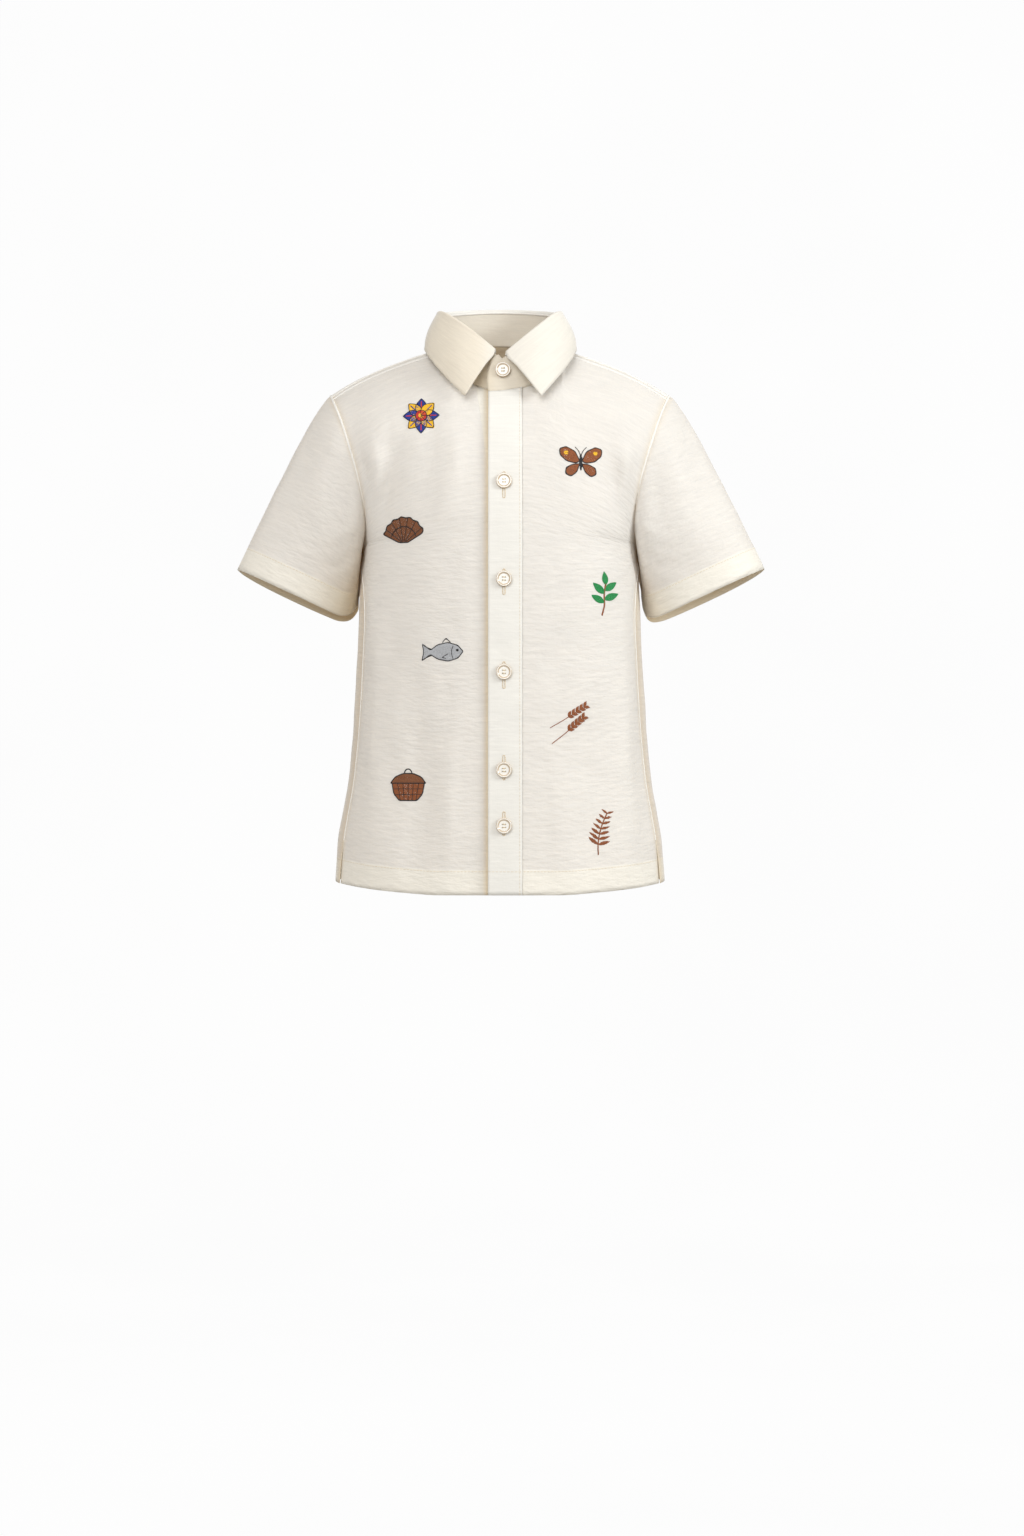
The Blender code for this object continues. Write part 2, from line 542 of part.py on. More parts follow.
LEAF_EDGE = (
    LeafEdge(0.00, 0.0312, -0.0765, -0.0470),
    LeafEdge(0.13, 0.0400, -0.0700, -0.0370),
    LeafEdge(0.27, 0.0505, -0.0565, -0.0235),
    LeafEdge(0.40, 0.0590, -0.0370, -0.0100),
    LeafEdge(0.52, 0.0630, -0.0130, -0.0003),
    LeafEdge(0.62, 0.0635, 0.0080, 0.0030),
    LeafEdge(0.74, 0.0590, 0.0330, 0.0030),
    LeafEdge(0.87, 0.0390, 0.0590, 0.0010),
    LeafEdge(1.00, 0.0000, 0.0690, 0.0010),
)
LEAF_SHIFT = 0.0029       # the fall's points sit a little to the wearer's left, as the front does
LEAF_CORNERS = (0.0050, -0.0035)   # places across of the fall's two front corners
ROLL_RADIUS = 0.0020
FALL_COLUMNS = 37


def fall_grid() -> np.ndarray:
    """The collar's fall, rows up from its outer edge, over the roll and down to the stand."""
    shares = 1.0 - np.abs(np.linspace(-1.0, 1.0, FALL_COLUMNS))
    sides = np.where(np.linspace(-1.0, 1.0, FALL_COLUMNS) < 0.0, 1.0, -1.0)
    knots = [row.share for row in LEAF_EDGE]
    edge = np.stack([through(knots, [getattr(row, axis) for row in LEAF_EDGE], shares)
                     for axis in ("x", "y", "z")], axis=-1)
    edge[:, 0] = edge[:, 0] * sides + LEAF_SHIFT * (1 - shares) ** 2
    corners = (math.asin((LEAF_CORNERS[0] - ROLL_SHIFT) / ROLL_HALF_WIDTH),
               2 * math.pi + math.asin((LEAF_CORNERS[1] - ROLL_SHIFT) / ROLL_HALF_WIDTH))
    angles = np.linspace(*corners, FALL_COLUMNS)
    roll = roll_point(angles)
    out = np.stack([np.sin(angles), -np.cos(angles), 0.0 * angles], axis=-1)
    over_stand = LAYER * smooth(1.0 - (np.arange(FALL_COLUMNS) - 2) / 4.0)
    roll = roll + out * over_stand[:, None] + [0.0, 0.0, CLOTH / 2 + SEAM_GAP]
    crest = roll + out * ROLL_RADIUS
    rows = []
    for degrees in (0, 60, 120, 180):
        turn = math.radians(degrees)
        rows.append(crest - out * ROLL_RADIUS * math.cos(turn)
                    + np.array([0.0, 0.0, ROLL_RADIUS * math.sin(turn)]))
    start = rows[-1]
    for share in (0.3, 0.65, 1.0):
        bow = 0.0030 * math.sin(math.pi * share)
        rows.append(start + (edge - start) * share + out * bow)
    return np.array(rows[::-1])


# ---------------------------------------------------------------- walls

SAME_WAY = 0.8            # cosine of the angle within which two pieces run on into each other
SHARPEST_MITRE = 0.5      # cosine that bounds how far a wall's corner reaches at a seam


def seam_key(point: np.ndarray) -> tuple[int, ...]:
    """A point's place to the nearest hundredth of a millimetre, to find it in a neighbour."""
    return tuple(int(round(value * 1e5)) for value in point)


def border(grid: np.ndarray, wrapped: bool) -> list[tuple[int, int]]:
    """The places of a grid's edge points."""
    rows, columns = grid.shape[:2]
    places = [(r, c) for r in (0, rows - 1) for c in range(columns)]
    if not wrapped:
        places += [(r, c) for r in range(1, rows - 1) for c in (0, columns - 1)]
    return places


class Piece(NamedTuple):
    """One cloth piece: its grid, its finish, and the thickness of each row."""

    name: str
    grid: np.ndarray
    finish: str
    wall: np.ndarray
    wrapped: bool = False
    sewn: bool = True


def seam_normals(pieces: list[Piece]) -> dict[tuple[int, ...], np.ndarray]:
    """The direction halfway between the pieces that meet, at each edge point.

    Pieces that run on into each other, as the front and back do at a side seam, count once.
    """
    sides: dict[tuple[int, ...], list[np.ndarray]] = {}
    for piece in pieces:
        if piece.sewn:
            normals = outward(piece.grid, piece.wrapped)
            for r, c in border(piece.grid, piece.wrapped):
                groups = sides.setdefault(seam_key(piece.grid[r, c]), [])
                for number, group in enumerate(groups):
                    if unit(group) @ normals[r, c] > SAME_WAY:
                        groups[number] = group + normals[r, c]
                        break
                else:
                    groups.append(normals[r, c])
    return {key: sum(unit(group) for group in groups) for key, groups in sides.items()}


def pulled_back(piece: Piece, middle: np.ndarray) -> np.ndarray:
    """The grid with its edges half a seam's gap short of the seams."""
    grid = piece.grid.copy()
    edges = [(0, 1, slice(None)), (-1, -2, slice(None))]
    for edge, inner, every in edges:
        grid[edge, every] += shortened(piece.grid[edge], piece.grid[inner], middle[edge])
    if not piece.wrapped:
        for edge, inner in ((0, 1), (-1, -2)):
            grid[:, edge] += shortened(piece.grid[:, edge], piece.grid[:, inner], middle[:, edge])
    return grid


def shortened(edge: np.ndarray, inner: np.ndarray, normals: np.ndarray) -> np.ndarray:
    """Steps of half a seam's gap from an edge into its piece, square to the edge and the normals."""
    tangent = np.gradient(edge, axis=0)
    square = np.cross(normals, tangent)
    square *= np.sign(np.sum(square * (inner - edge), axis=-1, keepdims=True))
    length = np.linalg.norm(square, axis=-1, keepdims=True)
    return square / np.maximum(length, 1e-12) * SEAM_GAP / 2


def add_wall(piece: Piece, seams: dict[tuple[int, ...], np.ndarray]) -> None:
    """Make a piece's closed solid from its grid."""
    normals = outward(piece.grid, piece.wrapped)
    offset = normals.copy()
    if piece.sewn:
        for r, c in border(piece.grid, piece.wrapped):
            shared = seams[seam_key(piece.grid[r, c])]
            direction = shared / np.linalg.norm(shared)
            offset[r, c] = direction / max(float(direction @ normals[r, c]), SHARPEST_MITRE)
    grid = pulled_back(piece, offset) if piece.sewn else piece.grid
    outer = grid + offset * (piece.wall.min() / 2)
    inner = outer - offset * piece.wall[..., None]

    rows, columns = grid.shape[:2]
    mesh = bpy.data.meshes.new(piece.name)
    wall = bmesh.new()
    skins = [[[wall.verts.new(point) for point in row] for row in skin] for skin in (outer, inner)]
    last = columns if piece.wrapped else columns - 1
    for skin, turned in zip(skins, (False, True)):
        for r in range(rows - 1):
            for c in range(last):
                corners = [skin[r][c], skin[r][(c + 1) % columns],
                           skin[r + 1][(c + 1) % columns], skin[r + 1][c]]
                wall.faces.new(corners[::-1] if turned else corners)
    out, ins = skins
    for c in range(last):
        after = (c + 1) % columns
        wall.faces.new((out[0][after], out[0][c], ins[0][c], ins[0][after]))
        wall.faces.new((out[-1][c], out[-1][after], ins[-1][after], ins[-1][c]))
    if not piece.wrapped:
        for r in range(rows - 1):
            wall.faces.new((out[r][0], out[r + 1][0], ins[r + 1][0], ins[r][0]))
            wall.faces.new((out[r + 1][-1], out[r][-1], ins[r][-1], ins[r + 1][-1]))
    bmesh.ops.triangulate(wall, faces=wall.faces[:], quad_method="SHORT_EDGE")
    wall.to_mesh(mesh)
    wall.free()
    mesh.materials.append(FINISHES[piece.finish])
    for face in mesh.polygons:
        face.use_smooth = True
    mesh.set_sharp_from_angle(angle=math.radians(40))
    SHIRT.objects.link(bpy.data.objects.new(piece.name, mesh))


def add_button(name: str, place: np.ndarray, facing: np.ndarray) -> None:
    """A pearly button with a raised rim, lying on the cloth and facing out."""
    profile = ((0.0, 0.0), (0.82, 0.0), (1.0, 0.35), (1.0, 0.70), (0.90, 1.0), (0.78, 0.95),
               (0.62, 0.62), (0.0, 0.58))
    solid = bmesh.new()
    centre_low = solid.verts.new((0, 0, 0))
    rings = []
    sides = 20
    for radius, height in profile[1:-1]:
        rings.append([solid.verts.new((radius * BUTTON_RADIUS * math.cos(2 * math.pi * k / sides),
                                       radius * BUTTON_RADIUS * math.sin(2 * math.pi * k / sides),
                                       height * BUTTON_THICKNESS)) for k in range(sides)])
    centre_high = solid.verts.new((0, 0, profile[-1][1] * BUTTON_THICKNESS))
    for k in range(sides):
        after = (k + 1) % sides
        solid.faces.new((centre_low, rings[0][after], rings[0][k]))
        for low, high in zip(rings, rings[1:]):
            solid.faces.new((low[k], low[after], high[after], high[k]))
        solid.faces.new((rings[-1][k], rings[-1][after], centre_high))
    mesh = bpy.data.meshes.new(name)
    solid.to_mesh(mesh)
    solid.free()
    mesh.materials.append(FINISHES["shell"])
    for face in mesh.polygons:
        face.use_smooth = True
    mesh.set_sharp_from_angle(angle=math.radians(35))
    button = bpy.data.objects.new(name, mesh)
    button.rotation_mode = "QUATERNION"
    button.rotation_quaternion = Vector(facing).to_track_quat("Z", "Y")
    button.location = Vector(place) + Vector(facing) * SEAM_GAP
    SHIRT.objects.link(button)


def add_finish(name: str, colour: tuple[float, float, float], roughness: float) -> bpy.types.Material:
    """A plain material."""
    material = bpy.data.materials.new(name)
    material.use_nodes = True
    shader = material.node_tree.nodes["Principled BSDF"]
    shader.inputs["Base Color"].default_value = (*colour, 1.0)
    shader.inputs["Roughness"].default_value = roughness
    shader.inputs["Metallic"].default_value = 0.0
    return material


# ---------------------------------------------------------------- the shirt

def even(rows: int, wall: float = CLOTH) -> np.ndarray:
    """One thickness for every row."""
    return np.full((rows, 1), wall)


def thick_hem(rows: int) -> np.ndarray:
    """The body's row thicknesses, thicker up to the hem's stitching."""
    walls = np.full((rows, 1), CLOTH)
    walls[:BODY_ROWS.index(HEM_LINE) + 1] = HEM_WALL
    return walls


def build() -> None:
    """Build every piece of the shirt."""
    left = front_grid(1)
    right = front_grid(-1)
    back = back_grid(BACK_COLUMNS)
    sewn, underarm = BODY_ROWS.index(1), len(BODY_ROWS)
    for front, side_seam, column in ((left, -1, 0), (right, 0, -1)):
        back[sewn:underarm + 1, column] = front[sewn:underarm + 1, side_seam]
    yoke = yoke_grid(back, left, right)

    left_walls = thick_hem(len(left)) * np.ones(left.shape[1])
    left_walls[:, :LAP_COLUMNS] = CLOTH         # no thicker where it laps over the right front
    pieces = [
        Piece("front_right", right, "cloth", thick_hem(len(right))),
        Piece("front_left", left, "cloth", left_walls),
        Piece("back", back, "cloth", thick_hem(len(back))),
        Piece("yoke", yoke, "cloth", even(len(yoke))),
    ]
    for side, name, front, cuff in ((-1, "sleeve_right", right, RIGHT_CUFF),
                                    (1, "sleeve_left", left, LEFT_CUFF)):
        ring = armhole_ring(side, front, back, yoke)
        walls = even(len(SLEEVE_ROWS))
        walls[:2] = HEM_WALL
        pieces.append(Piece(name, sleeve_grid(side, ring, cuff), "cloth", walls, wrapped=True))
    stand = stand_grid(left, right, yoke)
    pieces.append(Piece("collar_stand", stand, "cloth", even(len(stand))))
    seams = seam_normals(pieces)

    fall = fall_grid()
    pieces.append(Piece("collar_fall", fall, "cloth", even(len(fall), COLLAR_WALL), sewn=False))
    placket = left[:, :LAP_COLUMNS] + outward(left)[:, :LAP_COLUMNS] * LAYER
    pieces.append(Piece("placket", placket, "cloth", even(len(placket)), sewn=False))
    for piece in pieces:
        add_wall(piece, seams)

    normals = outward(placket)
    for number, height in enumerate(BUTTON_HEIGHTS, start=2):
        row = int(np.argmin(np.abs(placket[:, 1, 2] - height)))
        facing = unit(normals[row, 1] * [0.3, 1.0, 1.0])
        y = np.interp(height, placket[:, 1, 2], placket[:, 1, 1])
        place = np.array([BUTTON_X, y, height]) + facing * CLOTH / 2
        add_button(f"button_{number}", place, facing)
    share = COLLAR_BUTTON_SHARE
    place = (1.0 - share) * stand[2, 1] + share * stand[2, 2]
    facing = unit((1.0 - share) * outward(stand)[2, 1] + share * outward(stand)[2, 2])
    add_button("button_1", place + facing * CLOTH / 2, facing)


for old in list(bpy.data.objects):
    bpy.data.objects.remove(old, do_unlink=True)
SHIRT = bpy.data.collections.new("barong_shirt")
bpy.context.scene.collection.children.link(SHIRT)
FINISHES = {
    "cloth": add_finish("ivory_cloth", (0.86, 0.80, 0.69), 0.85),
    "shell": add_finish("pearly_shell", (0.90, 0.86, 0.77), 0.30),
}
build()
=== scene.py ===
"""The looks of a child's polo barong: thin slubby ivory cloth, sewn, buttoned and embroidered.

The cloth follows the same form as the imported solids: a grid of points on each sewn piece, worked
out from the shirt's named sizes, made finer by smooth curves through its points, and then pressed
into soft folds. In every grid the columns run anticlockwise seen from above and the rows run up.
"""

from __future__ import annotations

import logging
import math
from dataclasses import dataclass
from enum import Enum
from typing import Callable, NamedTuple, Sequence

import bpy
import numpy as np
from mathutils import Matrix, Vector
from mathutils.bvhtree import BVHTree

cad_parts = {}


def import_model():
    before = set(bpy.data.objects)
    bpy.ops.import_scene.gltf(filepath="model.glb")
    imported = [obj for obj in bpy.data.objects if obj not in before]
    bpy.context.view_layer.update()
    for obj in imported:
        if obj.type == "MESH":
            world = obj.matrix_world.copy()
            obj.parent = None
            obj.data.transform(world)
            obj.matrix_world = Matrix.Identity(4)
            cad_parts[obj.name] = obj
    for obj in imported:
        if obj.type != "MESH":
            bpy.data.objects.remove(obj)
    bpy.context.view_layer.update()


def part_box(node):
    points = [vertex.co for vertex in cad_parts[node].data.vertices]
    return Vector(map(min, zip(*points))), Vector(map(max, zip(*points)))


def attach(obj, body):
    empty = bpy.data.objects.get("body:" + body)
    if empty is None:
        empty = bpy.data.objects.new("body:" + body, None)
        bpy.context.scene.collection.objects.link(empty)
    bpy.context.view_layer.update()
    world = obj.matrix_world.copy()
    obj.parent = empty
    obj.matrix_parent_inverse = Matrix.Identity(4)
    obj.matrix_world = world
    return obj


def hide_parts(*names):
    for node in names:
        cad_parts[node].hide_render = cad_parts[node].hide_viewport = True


LOG = logging.getLogger("barong")

Array = np.ndarray
Triple = tuple[float, float, float]

CLOTH = 0.0010            # wall of one cloth piece in the solids
SHEET = 0.0005            # thickness of the sheets that show
LAYER = CLOTH + 0.0005    # step from the middle of one layer to the next one lying on it
COLLAR_WALL = 0.0014
SEAM_GAP = 0.0003
FINE = 5                  # fine steps to each step of the solids' grids
FAR = 1e9
MM = 0.001
HEM_DEPTH = 0.0200
TURNING = 0.0014          # how far a seam's turnings show beside it
# the edge of the right front's facing: heights, and places across
FACING_EDGE = ((-0.100, -0.037), (-0.0100, -0.0189))

FRONT_MIDDLE = 0.0044
PLACKET_WIDTH = 0.0275
PLACKET_RIGHT = FRONT_MIDDLE - PLACKET_WIDTH / 2
PLACKET_LEFT = FRONT_MIDDLE + PLACKET_WIDTH / 2
UNDERLAP_END = PLACKET_LEFT - 0.0015
LAP_FADE = 0.0300
SQUARENESS = 2.5

NECK_HALF_WIDTH = 0.0570
NECK_FRONT = 0.0640
NECK_BACK = 0.0540
NECK_FRONT_Z = -0.0420
NECK_SIDE_Z = 0.0010
NECK_BACK_Z = 0.0120
ROLL_HALF_WIDTH = 0.0490
ROLL_FRONT = 0.0590
ROLL_BACK = 0.0480
ROLL_SHIFT = 0.0020
ROLL_FRONT_Z = -0.0145
ROLL_SIDE_Z = 0.0300
ROLL_BACK_Z = 0.0400
NECK_CORNER = math.radians(75)
SEAM_FORWARD = 0.0430
VENT_SPREAD = 0.0012
CHEST_SLOPE = 0.75
OVERLAP_DROOP = 0.24
SHOULDER_FALL = 0.0366
SHOULDER_START = 0.0580
SHOULDER_END = 0.1410
SHOULDER_SEAM_DROP = 0.0040

LAP_COLUMNS = 4
NECK_COLUMNS = 6
SHOULDER_COLUMNS = 8
BACK_COLUMNS = 30
SHOULDER_END_COLUMN = FINE * (SHOULDER_COLUMNS - 1) + 1    # fine columns of a front under the yoke

BUTTON_COUNT = 6
BUTTON_X = 0.0036


class Level(NamedTuple):
    """One level of the body: its edge at the side seam or armhole, and its middle."""

    edge_x: float       # half width at the edge
    edge_z: float       # height at the edge
    edge_front: float   # how far the front's edge lies before the shoulder line
    edge_back: float    # how far the back's edge lies behind it
    middle_z: float     # height at the middle of the front and back
    front: float        # depth of the front's middle
    back: float         # depth of the back's middle
    wrap: float         # degrees of a quarter turn that the section makes by its edge


LEVELS = (
    Level(0.1375, -0.4435, 0.0000, 0.0000, -0.4520, 0.1000, 0.0970, 90),   # hem
    Level(0.1348, -0.4085, 0.0000, 0.0000, -0.4120, 0.0990, 0.0950, 90),
    Level(0.1270, -0.3650, 0.0000, 0.0000, -0.3650, 0.0980, 0.0925, 90),
    Level(0.1225, -0.3240, 0.0000, 0.0000, -0.3240, 0.0970, 0.0910, 90),
    Level(0.1196, -0.2800, 0.0000, 0.0000, -0.2800, 0.0965, 0.0910, 90),
    Level(0.1172, -0.2250, 0.0000, 0.0000, -0.2250, 0.0960, 0.0920, 90),
    Level(0.1155, -0.1850, 0.0000, 0.0000, -0.1850, 0.0953, 0.0935, 90),
    Level(0.1145, -0.1680, 0.0000, 0.0000, -0.1660, 0.0945, 0.0940, 90),   # underarm
    Level(0.1122, -0.1625, 0.0260, 0.0280, -0.1570, 0.0938, 0.0942, 81),
    Level(0.1108, -0.1500, 0.0410, 0.0450, -0.1430, 0.0928, 0.0942, 73),
    Level(0.1120, -0.1330, 0.0500, 0.0570, -0.1250, 0.0905, 0.0936, 67),
    Level(0.1170, -0.1080, 0.0550, 0.0630, -0.0980, 0.0850, 0.0920, 62),
    Level(0.1240, -0.0840, 0.0530, 0.0610, -0.0710, 0.0760, 0.0880, 60),
    Level(0.1305, -0.0640, 0.0440, 0.0530, -0.0450, 0.0650, 0.0800, 56),   # back yoke seam
    Level(0.1365, -0.0490, 0.0290, 0.0400, -0.0230, 0.0420, 0.0700, 50),
    Level(0.1405, -0.0405, 0.0120, 0.0300, -0.0050, 0.0180, 0.0600, 45),   # shoulder seam
)
HEM_LINE = 0.5            # level number of the hem's stitching, halfway to the second level
UNDERARM = 7
# heights at which the cloth is evened out, and how far from there
EASED_AT_UNDERARM = (-0.1660, 0.0150)
EASED_AT_SHOULDER = (-0.0600, 0.0280)
RUMPLES = ((1.0, 0.0085, 1.0), (1.6, 0.0210, 3.0))     # share of the unrest, its length, a seed
SHOULDER_SEAM = 15

# rows of the body's grids, as level numbers
BODY_ROWS = (0, HEM_LINE, 1, 1.5, 2, 2.5, 3, 3.5, 4, 4.5, 5, 5.5, 6)
ARMHOLE_ROWS = (7, 7.5, 8, 9, 10, 10.6, 11.3, 12, 13)
SHOULDER_ROWS = (13.7, 14.4, 15)
SIDE_SEAM_ROWS = slice(FINE * BODY_ROWS.index(1), FINE * len(BODY_ROWS) + 1)     # fine rows
FREE_ABOVE = 10           # above this level the rows close up under the neckline


class Fold(NamedTuple):
    """A soft ridge, or a trough where its height is below 0, along a straight run."""

    start: tuple[float, float]   # distance round from the middle, height
    end: tuple[float, float]
    width: float
    height: float


FRONT_RIGHT_FOLDS = (
    Fold((-0.128, -0.150), (-0.100, -0.075), 0.012, 0.0042),
    Fold((-0.112, -0.150), (-0.082, -0.080), 0.011, -0.0036),
    Fold((-0.030, -0.060), (-0.045, -0.150), 0.010, 0.0020),
    Fold((-0.105, -0.430), (-0.100, -0.250), 0.016, 0.0038),
    Fold((-0.070, -0.445), (-0.068, -0.280), 0.014, -0.0030),
    Fold((-0.040, -0.445), (-0.042, -0.330), 0.012, 0.0018),
)
FRONT_LEFT_FOLDS = (
    Fold((0.128, -0.150), (0.104, -0.085), 0.012, 0.0034),
    Fold((0.112, -0.150), (0.088, -0.090), 0.011, -0.0028),
    Fold((0.108, -0.430), (0.104, -0.270), 0.016, 0.0032),
    Fold((0.078, -0.445), (0.076, -0.300), 0.014, -0.0026),
    Fold((0.050, -0.445), (0.050, -0.340), 0.012, 0.0016),
)
BACK_FOLDS = (
    Fold((-0.118, -0.155), (-0.060, -0.090), 0.013, -0.0036),
    Fold((0.118, -0.155), (0.062, -0.095), 0.013, -0.0032),
    Fold((-0.085, -0.450), (-0.078, -0.170), 0.018, 0.0044),
    Fold((-0.038, -0.455), (-0.034, -0.210), 0.016, -0.0034),
    Fold((0.022, -0.455), (0.020, -0.250), 0.016, 0.0036),
    Fold((0.074, -0.450), (0.066, -0.160), 0.018, -0.0040),
    Fold((0.112, -0.440), (0.106, -0.280), 0.014, 0.0030),
)


class Cuff(NamedTuple):
    """A sleeve's lower edge, for the wearer's left side; the right side is mirrored."""

    middle: Triple
    tilt: float          # degrees that the edge runs down towards the body
    half_width: float
    half_depth: float
    underarm_lift: float
    back_drop: float     # how far the back of the edge hangs below its front


LEFT_CUFF = Cuff((0.1735, 0.0020, -0.2050), 25.0, 0.0530, 0.0440, 0.0060, 0.0035)
RIGHT_CUFF = Cuff((0.1720, 0.0020, -0.2055), 25.0, 0.0530, 0.0440, 0.0180, 0.0035)
CUFF_SQUARENESS = 2.3
BODY_CLEARANCE = 0.0025   # least gap from a sleeve to the body below the underarm
SLEEVE_ROWS = (0.0, 0.14, 0.26, 0.38, 0.50, 0.62, 0.74, 0.86, 0.94, 1.0)


def unit(vectors: Array) -> Array:
    """The vectors at length 1."""
    return vectors / np.linalg.norm(vectors, axis=-1, keepdims=True)


def smooth(value: Array | float) -> Array | float:
    """0 below 0, 1 above 1, and an even S curve between."""
    value = np.clip(value, 0.0, 1.0)
    return value * value * (3.0 - 2.0 * value)


def bell(distance: Array, reach: Array | float) -> Array:
    """1 at no distance, falling off evenly on both sides."""
    return np.exp(-(distance / reach) ** 2)


def through(knots: Array, values: Array, at: Array | float) -> Array:
    """A smooth curve through the values at the knots that never swings past them."""
    knots, values = np.asarray(knots, float), np.asarray(values, float)
    steps = np.diff(knots)
    rises = np.diff(values) / steps
    slopes = np.zeros(len(knots))
    slopes[0], slopes[-1] = rises[0], rises[-1]
    for i in range(1, len(knots) - 1):
        if rises[i - 1] * rises[i] > 0.0:
            before, after = 2 * steps[i] + steps[i - 1], steps[i] + 2 * steps[i - 1]
            slopes[i] = (before + after) / (before / rises[i - 1] + after / rises[i])
    at = np.asarray(at, float)
    span = np.clip(np.searchsorted(knots, at, side="right") - 1, 0, len(steps) - 1)
    return hermite(values[span], steps[span] * slopes[span], values[span + 1],
                   steps[span] * slopes[span + 1], (at - knots[span]) / steps[span])


def hermite(start: Array, leave: Array, end: Array, arrive: Array, t: Array | float) -> Array:
    """A point on the cubic curve with these ends and these directions at its ends."""
    return ((1 + 2 * t) * (1 - t) ** 2 * start + t * (1 - t) ** 2 * leave
            + t * t * (3 - 2 * t) * end + t * t * (t - 1) * arrive)


def distances(points: Array) -> Array:
    """How far along a polyline each of its points lies."""
    return np.insert(np.cumsum(np.linalg.norm(np.diff(points, axis=0), axis=1)), 0, 0.0)


def at_distances(places: Array | float, run: Array, points: Array) -> Array:
    """Points at places along a polyline whose own points lie at the given distances."""
    return np.stack([np.interp(places, run, column) for column in points.T], axis=-1)


def beside(points: Array, start: Array, end: Array) -> tuple[Array, Array]:
    """How far along a straight run each point lies, as a share, and its offset from there."""
    run = end - start
    share = np.clip((points - start) @ run / (run @ run), 0.0, 1.0)
    return share, points - start - share[..., None] * run


def along(points: Array, fractions: Array) -> Array:
    """Points at fractions of a polyline's length."""
    run = distances(points)
    return at_distances(fractions * run[-1], run, points)


def level(number: float) -> Level:
    """The body's level at a number between two rows of the table."""
    numbers = np.arange(len(LEVELS))
    return Level(*(float(through(numbers, [getattr(row, name) for row in LEVELS], number))
                   for name in Level._fields))


def shoulder_fall(share: Array | float) -> Array | float:
    """Share of the shoulder's fall, at a share of the way from neck to sleeve."""
    share = np.clip(share, 0.0, 1.0)
    return 0.68 * share + 0.32 * share ** 3


def crest_z(x: Array | float) -> Array | float:
    """Height of the shoulder's crest at a distance to the side."""
    share = (np.abs(x) - SHOULDER_START) / (SHOULDER_END - SHOULDER_START)
    return -SHOULDER_FALL * shoulder_fall(share)


def section(number: float, back: bool, samples: int = 161) -> Array:
    """Half a section of the body, from its middle to its edge on the wearer's left."""
    row = level(number)
    turn = np.linspace(0.0, 1.0, samples) ** 1.4 * math.radians(row.wrap)
    power, limit = 2.0 / SQUARENESS, math.radians(row.wrap)
    out = np.sin(turn) ** power / math.sin(limit) ** power
    least = max(math.cos(limit), 0.0) ** power
    deep = (np.clip(np.cos(turn), 0.0, 1.0) ** power - least) / (1.0 - least)
    edge, middle = (row.edge_back, row.back) if back else (row.edge_front, row.front)
    z = row.middle_z + (row.edge_z - row.middle_z) * shoulder_fall((out - 0.4) / 0.6)
    y = edge + (middle - edge) * deep
    return np.stack([row.edge_x * out, y if back else -y, z], axis=-1)


def on_section(number: float, places: Array, back: bool) -> Array:
    """Points at distances round from the middle, negative to the wearer's right."""
    half = section(number, back)
    if number < UNDERARM:                # below the underarm the other half follows on
        half = np.concatenate([half, section(number, not back)[-2::-1]])
    points = at_distances(np.abs(places), distances(half), half)
    points[..., 0] *= np.where(places < 0.0, -1.0, 1.0)
    return points


def section_length(number: float, back: bool) -> float:
    """Distance round half a section."""
    return float(distances(section(number, back))[-1])


def seam_forward(number: float) -> float:
    """How far before the shoulder line the side seam runs at a level."""
    return float(SEAM_FORWARD * smooth((UNDERARM - number) / 2.0))


def neck_point(angle: Array | float) -> Array:
    """The neck seam, at an angle from the front round the wearer's left."""
    angle = np.asarray(angle, float)
    sine, cosine = np.sin(angle), np.cos(angle)
    forward, rearward = np.clip(cosine, 0.0, 1.0), np.clip(-cosine, 0.0, 1.0)
    x = NECK_HALF_WIDTH * sine + FRONT_MIDDLE * forward ** 2
    y = -NECK_FRONT * forward + NECK_BACK * rearward
    z = (NECK_SIDE_Z + (NECK_FRONT_Z - NECK_SIDE_Z) * forward ** 1.7
         + (NECK_BACK_Z - NECK_SIDE_Z) * rearward ** 1.3)
    return np.stack([x, y, z], axis=-1)


def neck_angle(x: float) -> float:
    """The angle of the neck seam's front at a place across."""
    angles = np.linspace(-1.2, 1.2, 481)
    return float(np.interp(x, neck_point(angles)[:, 0], angles))


def shoulder_seam(side: int, samples: int = 41) -> Array:
    """The forward shoulder seam, from the neck out to the sleeve."""
    start = neck_point(side * NECK_CORNER)
    last = level(SHOULDER_SEAM)
    share = np.linspace(0.0, 1.0, samples)
    x = start[0] + (side * last.edge_x - start[0]) * share
    y = start[1] + (-last.edge_front - start[1]) * share
    z = crest_z(x) - SHOULDER_SEAM_DROP
    z += (start[2] - z[0]) * (1 - share) ** 2 + (last.edge_z - z[-1]) * share ** 2
    return np.stack([x, y, z], axis=-1)


def fold_height(folds: tuple[Fold, ...], round_from_middle: Array, z: Array) -> Array:
    """How far the folds lift each point off the plain form."""
    total = np.zeros(np.shape(z))
    place = np.stack([round_from_middle, z], axis=-1)
    for fold in folds:
        share, off = beside(place, np.array(fold.start), np.array(fold.end))
        fade = np.sin(math.pi * (0.12 + 0.76 * share)) ** 0.8
        total += fold.height * fade * bell(np.linalg.norm(off, axis=-1), fold.width)
    return total


